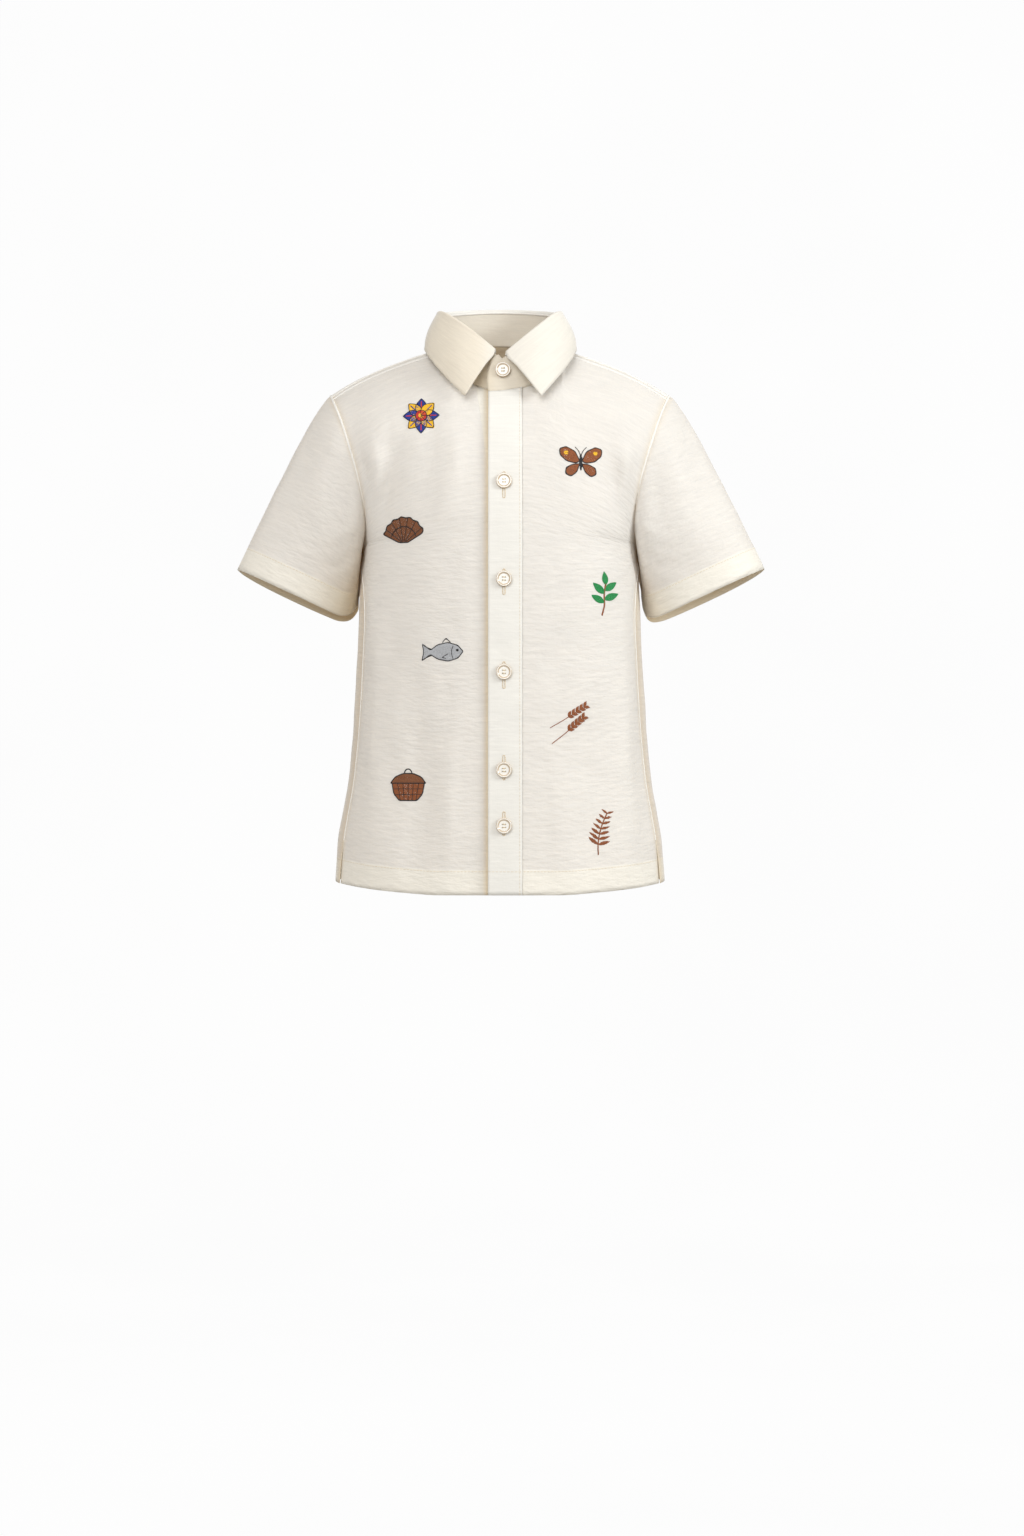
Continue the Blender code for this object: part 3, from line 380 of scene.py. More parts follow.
def outward(grid: Array, wrapped: bool = False) -> Array:
    """Unit normals of a grid, out of the shirt."""
    if wrapped:
        padded = np.concatenate([grid[:, -1:], grid, grid[:, :1]], axis=1)
        across = (padded[:, 2:] - padded[:, :-2])
    else:
        across = np.gradient(grid, axis=1)
    return unit(np.cross(across, np.gradient(grid, axis=0)))


def front_grid(side: int) -> Array:
    """A front's points, columns from the wearer's right to left.

    The right front runs on under the placket and the left front starts at the placket's
    right edge, one layer out.
    """
    if side > 0:
        lap = np.linspace(PLACKET_RIGHT, PLACKET_LEFT, LAP_COLUMNS)
    else:
        lap = np.linspace(UNDERLAP_END, PLACKET_RIGHT, LAP_COLUMNS)
    shares = np.linspace(0.0, 1.0, NECK_COLUMNS + SHOULDER_COLUMNS)

    corner = neck_angle(float(lap[-1]))
    neck = neck_point(np.linspace(corner, side * NECK_CORNER, 41))
    top = [neck_point(neck_angle(float(c))) for c in lap]
    top += list(along(neck, np.linspace(0, 1, NECK_COLUMNS + 1))[1:])
    top += list(along(shoulder_seam(side), np.linspace(0, 1, SHOULDER_COLUMNS))[1:])
    top = np.array(top)
    if side > 0:
        droop = OVERLAP_DROOP * np.clip(FRONT_MIDDLE - top[:, 0], 0.0, None)
        top[:, 2] -= droop
        top[:, 1] -= CHEST_SLOPE * droop

    def at(number: float) -> Array:
        """All the columns' points at a level."""
        reach = section_length(number, False) - seam_forward(number)
        past_lap = lap[-1] + (side * reach - lap[-1]) * shares[1:]
        return on_section(number, np.concatenate([lap, past_lap]), False)

    numbers = np.linspace(FREE_ABOVE + 1.5, SHOULDER_SEAM, 57)
    gaps = [np.linalg.norm(at(number) - top, axis=1) for number in numbers]
    last_levels = numbers[np.argmin(gaps, axis=0)]     # where each column meets the top edge
    last_levels[LAP_COLUMNS + NECK_COLUMNS:] = SHOULDER_SEAM

    rows = BODY_ROWS + ARMHOLE_ROWS + SHOULDER_ROWS
    grid = np.zeros((len(rows), len(top), 3))
    for r, number in enumerate(rows):
        reach = max(number - FREE_ABOVE, 0.0) / (SHOULDER_SEAM - FREE_ABOVE)
        for c, last in enumerate(last_levels):
            here = FREE_ABOVE + reach * (last - FREE_ABOVE) if reach > 0.0 else number
            grid[r, c] = at(here)[c]
    grid = pinned_top(grid, top, len(BODY_ROWS) + 2)

    normals = outward(grid) * side
    distance = side * np.linalg.norm(np.diff(grid, axis=1), axis=-1).cumsum(axis=1)
    around = np.concatenate([np.full((len(rows), 1), lap[0]), lap[0] + distance], axis=1)
    folds = FRONT_LEFT_FOLDS if side > 0 else FRONT_RIGHT_FOLDS
    lift = fold_height(folds, around, grid[..., 2]) * away_from_edges(grid, side)
    if side > 0:
        lift = lift + LAYER * (1.0 - smooth((around - PLACKET_LEFT) / LAP_FADE))
        lift[-1, LAP_COLUMNS + NECK_COLUMNS - 1:] = 0.0
    grid = grid + normals * lift[..., None]
    return grid if side > 0 else grid[:, ::-1]


def pinned_top(grid: Array, top: Array, first_row: int) -> Array:
    """The grid with its last row on the given points, easing in from the first row."""
    rows = len(grid)
    ease = smooth((np.arange(rows) - first_row) / (rows - 1 - first_row))
    return grid + ease[:, None, None] * (top - grid[-1])[None]


def away_from_edges(grid: Array, side: int) -> Array:
    """1 inside a front and 0 at its side seam, armhole, shoulder, neck and buttoned edge."""
    rows, columns = grid.shape[:2]
    to_side = smooth((columns - 1 - np.arange(columns)) / 2.5)
    to_lap = smooth((np.arange(columns) - LAP_COLUMNS + 1) / 3.0)
    to_top = smooth((rows - 1 - np.arange(rows)) / 4.0)
    return to_top[:, None] * (to_side * to_lap)[None]


def back_grid(columns: int) -> Array:
    """The back's points, from the wearer's left side seam round to the right one."""
    rows = BODY_ROWS + ARMHOLE_ROWS
    shares = np.linspace(1.0, -1.0, columns)
    grid = np.zeros((len(rows), columns, 3))
    reach = np.array([section_length(n, True) + seam_forward(n) for n in rows])
    for r, number in enumerate(rows):
        grid[r] = on_section(number, shares * reach[r], True)
    normals = outward(grid)
    around = shares[None] * reach[:, None]
    inside = smooth((1.0 - np.abs(shares)) * columns / 5.0)[None]
    inside = inside * smooth((len(rows) - 1 - np.arange(len(rows))) / 3.0)[:, None]
    grid = grid + normals * (fold_height(BACK_FOLDS, around, grid[..., 2]) * inside)[..., None]
    sewn = BODY_ROWS.index(1)            # the side vents are open below this row
    vent = smooth(1.0 - np.arange(len(rows)) / (sewn + 2.0))
    for column, sign in ((0, 1.0), (-1, -1.0)):
        grid[:, column] += np.array([sign * VENT_SPREAD, VENT_SPREAD, 0.0]) * vent[:, None]
    return grid


def yoke_grid(back: Array, left: Array, right: Array) -> Array:
    """The yoke's points, up from the back's top to the neck and the forward seams."""
    shoulder = SHOULDER_COLUMNS
    left_top, right_top = left[-1, -shoulder:][::-1], right[-1, :shoulder][::-1]
    left_down = (left[-2, -shoulder:] - left[-1, -shoulder:])[::-1]
    right_down = (right[-2, :shoulder] - right[-1, :shoulder])[::-1]
    inner = back.shape[1] - 2 * shoulder
    angles = np.linspace(NECK_CORNER, 2 * math.pi - NECK_CORNER, inner + 2)[1:-1]
    neck = neck_point(angles)
    inward = np.stack([-np.sin(angles), np.cos(angles), 0.0 * angles], axis=-1)
    inward[:, 2] = 0.30 + 0.35 * np.clip(-np.cos(angles), 0.0, 1.0)
    top = np.concatenate([left_top, neck, right_top])
    arrive = unit(np.concatenate([left_down, inward, right_down]))
    for corner, step in ((shoulder - 1, 1), (shoulder + inner, -1)):
        arrive[corner] = unit(arrive[corner] + arrive[corner + 2 * step])
        arrive[corner + step] = unit(arrive[corner] + 2.0 * arrive[corner + step])
    leave = unit(back[-1] - back[-2])
    span = np.linalg.norm(top - back[-1], axis=-1, keepdims=True)
    sharpness = np.repeat([1.05, 0.70, 1.05], [shoulder, inner, shoulder])
    rows = [hermite(back[-1], leave * span, top, arrive * span * sharpness[:, None], t)
            for t in (0.0, 0.22, 0.44, 0.64, 0.82, 1.0)]
    return eased(np.array(rows), (shoulder - 1, shoulder + inner))


def eased(grid: Array, corners: tuple[int, int], turns: int = 10) -> Array:
    """Smooth a grid's inner points about the columns that meet the neck's corners."""
    column = np.arange(grid.shape[1])
    share = sum(bell(column - corner, 3.5) for corner in corners)[1:-1, None]
    for _ in range(turns):
        around = (grid[:-2, 1:-1] + grid[2:, 1:-1] + grid[1:-1, :-2] + grid[1:-1, 2:]) / 4.0
        grid[1:-1, 1:-1] += 0.7 * share * (around - grid[1:-1, 1:-1])
    return grid


def armhole_ring(side: int, front: Array, back: Array, yoke: Array) -> Array:
    """The armhole's seam points, anticlockwise seen from above from the underarm."""
    first = len(BODY_ROWS)
    front_edge = front[first:, -1] if side > 0 else front[first:, 0]
    back_edge = back[first:, 0] if side > 0 else back[first:, -1]
    tip = yoke[:, 0] if side > 0 else yoke[:, -1]
    ring = np.concatenate([front_edge, tip[::-1][1:-1], back_edge[::-1][:-1]])
    if side < 0:
        ring = np.concatenate([ring[:1], ring[1:][::-1]])
    return ring


def sleeve_grid(side: int, ring: Array, cuff: Cuff) -> Array:
    """A sleeve's points, up from the cuff to the armhole ring."""
    run = distances(np.concatenate([ring, ring[:1]]))
    share = run[:-1] / run[-1]
    from_underarm = np.minimum(share, 1 - share)
    turn = 2 * math.pi * share * side
    tilt = math.radians(cuff.tilt)
    inward = np.array([-math.cos(tilt), 0.0, -math.sin(tilt)])
    up_arm = np.array([-math.sin(tilt), 0.0, math.cos(tilt)])
    round_x, round_y = (np.sign(part) * np.abs(part) ** (2.0 / CUFF_SQUARENESS)
                        for part in (np.cos(turn), np.sin(turn)))
    edge = np.array(cuff.middle) + cuff.half_width * round_x[:, None] * inward
    edge[:, 1] -= cuff.half_depth * round_y
    lift = cuff.underarm_lift * bell(from_underarm, 0.06)
    lift -= cuff.back_drop * np.clip(-round_y, 0.0, 1.0)
    edge += lift[:, None] * up_arm
    edge[:, 0] *= side

    top_share = (1 - np.cos(2 * math.pi * share)) / 2
    low_share = np.clip(1 - from_underarm / 0.24, 0.0, 1.0)
    facing = np.sign(ring[:, 1]) * np.sin(2 * math.pi * from_underarm)
    leave = np.stack([side * (0.034 * top_share + 0.016 * low_share),
                      0.020 * facing,
                      -0.085 + 0.070 * top_share ** 2 + 0.055 * low_share ** 2], axis=-1)
    reach = np.linalg.norm(edge - ring, axis=1, keepdims=True)
    arm = -up_arm * np.array([side, 1.0, 1.0])
    rows = [hermite(ring, leave, edge, arm * reach * 0.95, 1.0 - t) for t in SLEEVE_ROWS]
    grid = np.array(rows)
    away = np.linalg.norm(grid - ring[None], axis=-1)
    least = body_edge_x(grid) + CLOTH + np.minimum(BODY_CLEARANCE, 0.8 * away)
    grid[:-1, :, 0] = side * np.maximum(side * grid[:-1, :, 0], least[:-1])
    return grid


def body_edge_x(points: Array) -> Array:
    """How far out the body's side reaches at the height and depth of each point."""
    heights = [row.edge_z for row in LEVELS[:UNDERARM + 1]]
    half_width, front, back = (np.interp(points[..., 2], heights,
                                         [getattr(row, name) for row in LEVELS[:UNDERARM + 1]])
                               for name in ("edge_x", "front", "back"))
    depth = np.where(points[..., 1] < 0.0, front, back)
    share = np.clip(np.abs(points[..., 1]) / depth, 0.0, 1.0)
    return half_width * (1.0 - share ** SQUARENESS) ** (1.0 / SQUARENESS)


def roll_point(angle: Array | float) -> Array:
    """The collar's roll line, where the fall turns over the stand."""
    angle = np.asarray(angle, float)
    sine, cosine = np.sin(angle), np.cos(angle)
    forward, rearward = np.clip(cosine, 0.0, 1.0), np.clip(-cosine, 0.0, 1.0)
    x = ROLL_HALF_WIDTH * sine + ROLL_SHIFT * forward ** 2
    y = -ROLL_FRONT * forward + ROLL_BACK * rearward
    fall = np.where(cosine > 0.0, 1.0 - np.abs(sine), 0.0)
    z = (ROLL_SIDE_Z - (ROLL_SIDE_Z - ROLL_FRONT_Z) * fall
         + (ROLL_BACK_Z - ROLL_SIDE_Z) * rearward ** 1.3)
    return np.stack([x, y, z], axis=-1)


def stand_grid(left: Array, right: Array, yoke: Array) -> Array:
    """The collar stand, from its buttoned end round the neck to the end beneath it."""
    before = LAP_COLUMNS + NECK_COLUMNS
    base = np.concatenate([left[-1, :before], yoke[-1, SHOULDER_COLUMNS:-SHOULDER_COLUMNS],
                           right[-1, -before:]])
    angles = np.unwrap(np.arctan2(base[:, 0] / NECK_HALF_WIDTH, -base[:, 1] / NECK_FRONT))
    top = roll_point(angles)
    ahead = smooth(1.0 - (np.arange(len(base)) - LAP_COLUMNS) / 4.0)
    top += unit(top * [1.0, 1.0, 0.0]) * (LAYER * ahead)[:, None]
    rows = [base + (top - base) * t for t in (0.0, 0.3, 0.6, 0.85, 1.0)]
    grid = np.array(rows)
    bulge = np.array([0.0, -0.0022, -0.0018, 0.0010, 0.0050])   # the buttoned end is rounded
    grid[:, 0, 0] += bulge
    grid[:, 1, 0] += 0.4 * bulge
    grid[-1, :3, 2] -= (0.0035, 0.0012, 0.0)
    return grid


class LeafEdge(NamedTuple):
    """A point on the collar's outer edge, for one side, from the front point to the back."""

    share: float         # of the way from the front corner to the middle of the back
    x: float
    y: float
    z: float


LEAF_EDGE = (
    LeafEdge(0.00, 0.0312, -0.0765, -0.0470),
    LeafEdge(0.13, 0.0400, -0.0700, -0.0370),
    LeafEdge(0.27, 0.0505, -0.0565, -0.0235),
    LeafEdge(0.40, 0.0590, -0.0370, -0.0100),
    LeafEdge(0.52, 0.0630, -0.0130, -0.0003),
    LeafEdge(0.62, 0.0635, 0.0080, 0.0030),
    LeafEdge(0.74, 0.0590, 0.0330, 0.0030),
    LeafEdge(0.87, 0.0390, 0.0590, 0.0010),
    LeafEdge(1.00, 0.0000, 0.0690, 0.0010),
)
LEAF_SHIFT = 0.0029       # the fall's points sit a little to the wearer's left, as the front does
LEAF_CORNERS = (0.0050, -0.0035)   # places across of the fall's two front corners
ROLL_RADIUS = 0.0020
FALL_COLUMNS = 37


def fall_grid() -> Array:
    """The collar's fall, rows up from its outer edge, over the roll and down to the stand."""
    shares = 1.0 - np.abs(np.linspace(-1.0, 1.0, FALL_COLUMNS))
    sides = np.where(np.linspace(-1.0, 1.0, FALL_COLUMNS) < 0.0, 1.0, -1.0)
    knots = [row.share for row in LEAF_EDGE]
    edge = np.stack([through(knots, [getattr(row, axis) for row in LEAF_EDGE], shares)
                     for axis in ("x", "y", "z")], axis=-1)
    edge[:, 0] = edge[:, 0] * sides + LEAF_SHIFT * (1 - shares) ** 2
    corners = (math.asin((LEAF_CORNERS[0] - ROLL_SHIFT) / ROLL_HALF_WIDTH),
               2 * math.pi + math.asin((LEAF_CORNERS[1] - ROLL_SHIFT) / ROLL_HALF_WIDTH))
    angles = np.linspace(*corners, FALL_COLUMNS)
    roll = roll_point(angles)
    out = np.stack([np.sin(angles), -np.cos(angles), 0.0 * angles], axis=-1)
    over_stand = LAYER * smooth(1.0 - (np.arange(FALL_COLUMNS) - 2) / 4.0)
    roll = roll + out * over_stand[:, None] + [0.0, 0.0, CLOTH / 2 + SEAM_GAP]
    crest = roll + out * ROLL_RADIUS
    rows = []
    for degrees in (0, 60, 120, 180):
        turn = math.radians(degrees)
        rows.append(crest - out * ROLL_RADIUS * math.cos(turn)
                    + np.array([0.0, 0.0, ROLL_RADIUS * math.sin(turn)]))
    start = rows[-1]
    for share in (0.3, 0.65, 1.0):
        bow = 0.0030 * math.sin(math.pi * share)
        rows.append(start + (edge - start) * share + out * bow)
    return np.array(rows[::-1])


# ---------------------------------------------------------------- finer grids


def finer(points: Array, wrapped: bool = False, steps: int = FINE) -> Array:
    """Put more points on smooth curves through rows of points, along the first axis.

    Args:
        points: the points, shaped (count, ..., 3).
        wrapped: whether the last point leads back to the first.
        steps: the fine steps from one point to the next.

    Returns:
        The fine points, which pass through every point given.
    """
    before, after = np.roll(points, 1, axis=0), np.roll(points, -1, axis=0)
    if not wrapped:
        before[0], after[-1] = 2.0 * points[0] - points[1], 2.0 * points[-1] - points[-2]
    back_step, step = (np.maximum(np.linalg.norm(points - other, axis=-1, keepdims=True), 1e-6)
                       for other in (before, after))
    slope = (points - before) / back_step * step + (after - points) / step * back_step
    slope /= back_step + step
    next_slope = np.roll(slope, -1, axis=0)
    fine = np.stack([hermite(points, step * slope, after, step * next_slope, share)
                     for share in np.arange(steps) / steps], axis=1)
    if wrapped:
        return fine.reshape((-1,) + points.shape[1:])
    return np.concatenate([fine[:-1].reshape((-1,) + points.shape[1:]), points[-1:]])


def finer_grid(grid: Array, wrapped: bool = False) -> Array:
    """Make a grid finer along its rows and its columns."""
    rows = finer(grid)
    return np.swapaxes(finer(np.swapaxes(rows, 0, 1), wrapped), 0, 1)


def snapped(points: Array, targets: Array, reach: float = 0.0022) -> Array:
    """Move each point onto its nearest target where that lies within reach."""
    apart = np.linalg.norm(points[:, None] - targets[None], axis=2)
    nearest = apart.argmin(axis=1)
    near = apart[np.arange(len(points)), nearest] < reach
    moved = points.copy()
    moved[near] = targets[nearest[near]]
    return moved


def run_lengths(grid: Array, axis: int, wrapped: bool = False) -> Array:
    """Distances along a grid's rows or columns from its first point."""
    steps = np.linalg.norm(np.diff(grid, axis=axis), axis=2)
    lengths = np.insert(np.cumsum(steps, axis=axis), 0, 0.0, axis=axis)
    if wrapped:
        last = np.linalg.norm(grid[:, :1] - grid[:, -1:], axis=2)
        lengths = np.concatenate([lengths, lengths[:, -1:] + last], axis=1)
    return lengths


# ---------------------------------------------------------------- the shirt's form


class Crease(NamedTuple):
    """A soft ridge or trough in the cloth, seen from one side of the shirt, in millimetres."""

    x1: float            # its run: three places across and up as seen
    z1: float
    x2: float
    z2: float
    x3: float
    z3: float
    width: float
    height: float        # out of the shirt; below 0 for a trough
    lean: float          # steepness: -1 to 1, the side that falls off sooner
    wander: float        # how far its line strays, for an uneven run


class Side(Enum):
    """The side of the shirt that a table of creases is seen from."""

    FRONT = (0, -1.0, 1)
    BACK = (0, 1.0, 1)
    LEFT = (1, 1.0, 0)
    RIGHT = (1, -1.0, 0)

    def across(self, points: Array) -> Array:
        """The coordinate that runs across this view."""
        return points[..., self.value[0]]

    def facing(self, normals: Array) -> Array:
        """How squarely each normal faces this view, 0 to 1."""
        return np.clip(normals[..., self.value[2]] * self.value[1] * 1.6 + 0.15, 0.0, 1.0)


FRONT_CREASES = (
    # wearer's right, at the armhole and the neck
    Crease(-121, -78, -114, -105, -109, -140, 6.5, -1.6, 0.3, 1.5),
    Crease(-103, -82, -99.5, -115, -101, -158, 6, 1.5, -0.4, 1.5),
    Crease(-92, -66, -89, -92, -92, -124, 6, -1.1, 0, 1.5),
    Crease(-66, -48, -72, -78, -81, -108, 7.5, 0.8, 0.3, 2),
    Crease(-105, -163, -86, -146, -64, -137, 8.5, 0.5, 0, 1.5),
    Crease(-108, -180, -88, -166, -62, -160, 8.5, -0.5, 0, 1.8),
    # wearer's right, down the side
    Crease(-106, -190, -104, -260, -110, -340, 8.5, 1.2, -0.3, 3),
    Crease(-90, -220, -92, -300, -97, -395, 8, -1.2, 0.2, 3.5),
    Crease(-70, -300, -74, -360, -80, -440, 9, 1.1, 0.3, 3),
    Crease(-46, -250, -50, -330, -52, -430, 9.5, -0.8, 0, 4),
    Crease(-30, -150, -27, -220, -31, -300, 9, 0.6, 0.2, 4),
    # wearer's left, at the armhole and the neck
    Crease(120, -78, 113, -106, 108, -142, 6.5, -1.3, -0.3, 1.5),
    Crease(103, -82, 100, -116, 100, -160, 6, 1.2, 0.4, 1.5),
    Crease(92, -70, 91, -100, 94, -128, 6, -0.8, 0, 1.5),
    Crease(104, -165, 86, -149, 66, -142, 8.5, 0.5, 0, 1.5),
    Crease(106, -182, 88, -170, 66, -165, 8.5, -0.5, 0, 1.8),
    # wearer's left, down the side
    Crease(107, -200, 106, -270, 112, -350, 8.5, 1, 0.3, 3),
    Crease(92, -230, 94, -310, 100, -400, 8, -1, -0.2, 3.5),
    Crease(73, -310, 76, -370, 83, -440, 9, 0.9, -0.3, 3),
    Crease(50, -270, 53, -340, 56, -430, 9.5, -0.7, 0, 4),
    Crease(36, -170, 34, -230, 38, -310, 9, 0.5, 0.2, 4),
)
BACK_CREASES = (
    Crease(-113, -150, -90, -132, -60, -122, 6, 1.4, 0.4, 2),
    Crease(-110, -172, -85, -156, -50, -150, 6, -1.2, 0.3, 2),
    Crease(-104, -86, -100, -120, -103, -160, 6.5, 1.2, 0.3, 1.5),
    Crease(112, -152, 90, -136, 62, -126, 6, 1.3, -0.4, 2),
    Crease(110, -174, 84, -160, 52, -152, 6, -1.2, -0.3, 2),
    Crease(103, -88, 101, -122, 103, -162, 6.5, 1.1, -0.3, 1.5),
    Crease(-98, -210, -100, -300, -108, -420, 9, 1.6, 0.3, 4),
    Crease(-60, -190, -62, -290, -70, -435, 10, -1.4, 0, 4.5),
    Crease(-16, -130, -12, -230, -16, -360, 10, 1.2, 0.2, 4.5),
    Crease(36, -180, 40, -280, 48, -430, 10, -1.3, 0, 4.5),
    Crease(94, -230, 98, -320, 108, -430, 9, 1.4, -0.3, 4),
    Crease(-85, -236, -40, -228, 10, -238, 7, 0.7, 0.2, 3),
    Crease(85, -262, 45, -254, -5, -262, 7, -0.7, 0.2, 3),
)
SIDE_CREASES = (
    Crease(-22, -190, -30, -260, -26, -340, 9, 1.2, 0.2, 3),
    Crease(18, -190, 28, -270, 24, -360, 9, -1.2, 0.2, 3),
    Crease(48, -200, 52, -290, 50, -400, 9.5, 1.2, -0.2, 3),
)
SLEEVE_FRONT_CREASES = (
    Crease(136, -70, 146, -110, 152, -165, 9, 1.3, 0.3, 2),
    Crease(124, -90, 129, -130, 136, -185, 7, -1.1, 0, 2),
    Crease(152, -72, 168, -110, 180, -160, 9, -0.9, -0.2, 2),
    Crease(118, -150, 130, -160, 146, -162, 5, 1, 0.4, 1),
    Crease(118, -172, 132, -182, 150, -186, 5, -0.9, 0.4, 1),
)
SLEEVE_BACK_CREASES = (
    Crease(134, -75, 145, -115, 152, -170, 9, -1.4, 0.3, 2),
    Crease(122, -92, 130, -135, 138, -190, 7.5, 1.4, 0, 2),
    Crease(154, -80, 170, -120, 184, -170, 9, 1, -0.2, 2),
    Crease(118, -145, 132, -152, 150, -152, 5.5, -1, 0.4, 1),
)
SLEEVE_SIDE_CREASES = (
    Crease(-20, -75, -24, -120, -26, -180, 9, 1, 0.2, 2),
    Crease(22, -80, 28, -120, 30, -176, 9, -1, 0.2, 2),
)


def crease_height(creases: Sequence[Crease], across: Array, z: Array) -> Array:
    """How far the creases lift each point off the plain form."""
    total, place = np.zeros(across.shape), np.stack([across, z], axis=-1)
    for number, crease in enumerate(creases):
        run = np.array(crease[:6]).reshape(3, 2) * MM
        before = distances(run)
        best = np.full(across.shape, FAR)
        share_at, side_at = np.zeros(across.shape), np.zeros(across.shape)
        for index, (start, end) in enumerate(zip(run, run[1:])):
            share, off = beside(place, start, end)
            share = (before[index] + share * (before[index + 1] - before[index])) / before[-1]
            away, leg = np.linalg.norm(off, axis=-1), end - start
            near = away < best
            best = np.where(near, away, best)
            share_at = np.where(near, share, share_at)
            side_at = np.where(near, np.sign(leg[0] * off[..., 1] - leg[1] * off[..., 0]), side_at)
        best = best * side_at + crease.wander * MM * np.sin(9.0 * share_at + 2.3 * number)
        width = crease.width * MM * (1.0 + 0.55 * crease.lean * side_at) * (0.75 + 0.45 * share_at)
        fade = np.sin(math.pi * (0.06 + 0.88 * share_at)) ** 0.7
        total += crease.height * MM * fade * bell(best, width)
    return total


def crinkle(points: Array, size: float, seed: float) -> Array:
    """An even unrest of the surface, from -1 to 1, over lengths of about the given size."""
    x, y, z = np.moveaxis(points / size, -1, 0)
    total = np.zeros(x.shape)
    for turn in range(5):
        angle = seed + 1.9 * turn
        across = x * math.cos(angle) + y * math.sin(angle)
        total += np.sin(across * (1.0 + 0.31 * turn) + 1.7 * np.sin(z * 0.62 + angle) + angle)
        total += 0.8 * np.sin(z * (0.8 + 0.27 * turn) + 2.0 * angle
                              + 1.3 * np.sin(across * 0.7 - angle))
    return total / 5.0


def from_edges(shape: tuple[int, int], wrapped: bool, sewn: tuple[bool, bool, bool, bool],
               reach: int) -> Array:
    """A share that rises from 0 on a grid's sewn edges to 1 at reach steps inside."""
    row, column = np.indices(shape)
    near = np.full(shape, float(reach))
    for edge, steps in enumerate((row, shape[0] - 1 - row, column, shape[1] - 1 - column)):
        if sewn[edge] and not (wrapped and edge > 1):     # a wrapped grid has no first or last edge
            near = np.minimum(near, steps)
    return smooth(near / reach)


@dataclass
class Cloth:
    """One sewn piece as a fine grid of points, with its size laid flat."""

    name: str
    grid: Array
    wrapped: bool = False

    @property
    def normals(self) -> Array:
        """Unit normals out of the shirt."""
        return outward(self.grid, self.wrapped)

    def press(self, views: dict[Side, Sequence[Crease]], mirrored: bool = False,
              rumple: float = 0.0003,
              sewn: tuple[bool, bool, bool, bool] = (False, True, True, True)) -> None:
        """Press creases and a light rumple into the cloth, fading at its sewn edges.

        Args:
            views: the creases seen from each side of the shirt.
            mirrored: whether they are given for the wearer's other side.
            rumple: height of the unrest all over.
            sewn: whether the lower, upper, first and last edges are sewn.
        """
        normals = self.normals
        heights = rumple * sum(share * crinkle(self.grid, size, seed + len(self.name))
                               for share, size, seed in RUMPLES)
        for side, creases in views.items():
            across = side.across(self.grid)
            if mirrored and side in (Side.FRONT, Side.BACK):
                across = -across
            heights += crease_height(creases, across, self.grid[..., 2]) * side.facing(normals)
        heights *= from_edges(self.grid.shape[:2], self.wrapped, sewn, 6)
        self.grid = self.grid + normals * heights[..., None]

    def relax(self, height: float, reach: float, passes: int = 30) -> None:
        """Even out the cloth within reach of a height, keeping its edges where they are."""
        share = from_edges(self.grid.shape[:2], self.wrapped, (False, True, True, True), 4)
        share = 0.5 * share * bell(self.grid[..., 2] - height, reach)
        for _ in range(passes):
            pull, total = np.zeros(self.grid.shape), np.zeros(share.shape + (1,))
            for axis, step in ((0, 1), (0, -1), (1, 1), (1, -1)):
                gap = np.roll(self.grid, step, axis) - self.grid
                weight = 1.0 / (np.linalg.norm(gap, axis=-1, keepdims=True) + 1e-6)
                pull, total = pull + gap * weight, total + weight
            normals = self.normals
            lift = (pull / total * normals).sum(axis=-1) * share
            self.grid = self.grid + normals * lift[..., None]

    def flat_map(self) -> Array:
        """Metres across and along the weave, nearly as the piece was cut."""
        across = run_lengths(self.grid, 1, self.wrapped)
        along = run_lengths(self.grid, 0)
        if self.wrapped:
            along = closed(along)
        middle = across[:, across.shape[1] // 2][:, None]
        return np.stack([across - middle, along], axis=-1)


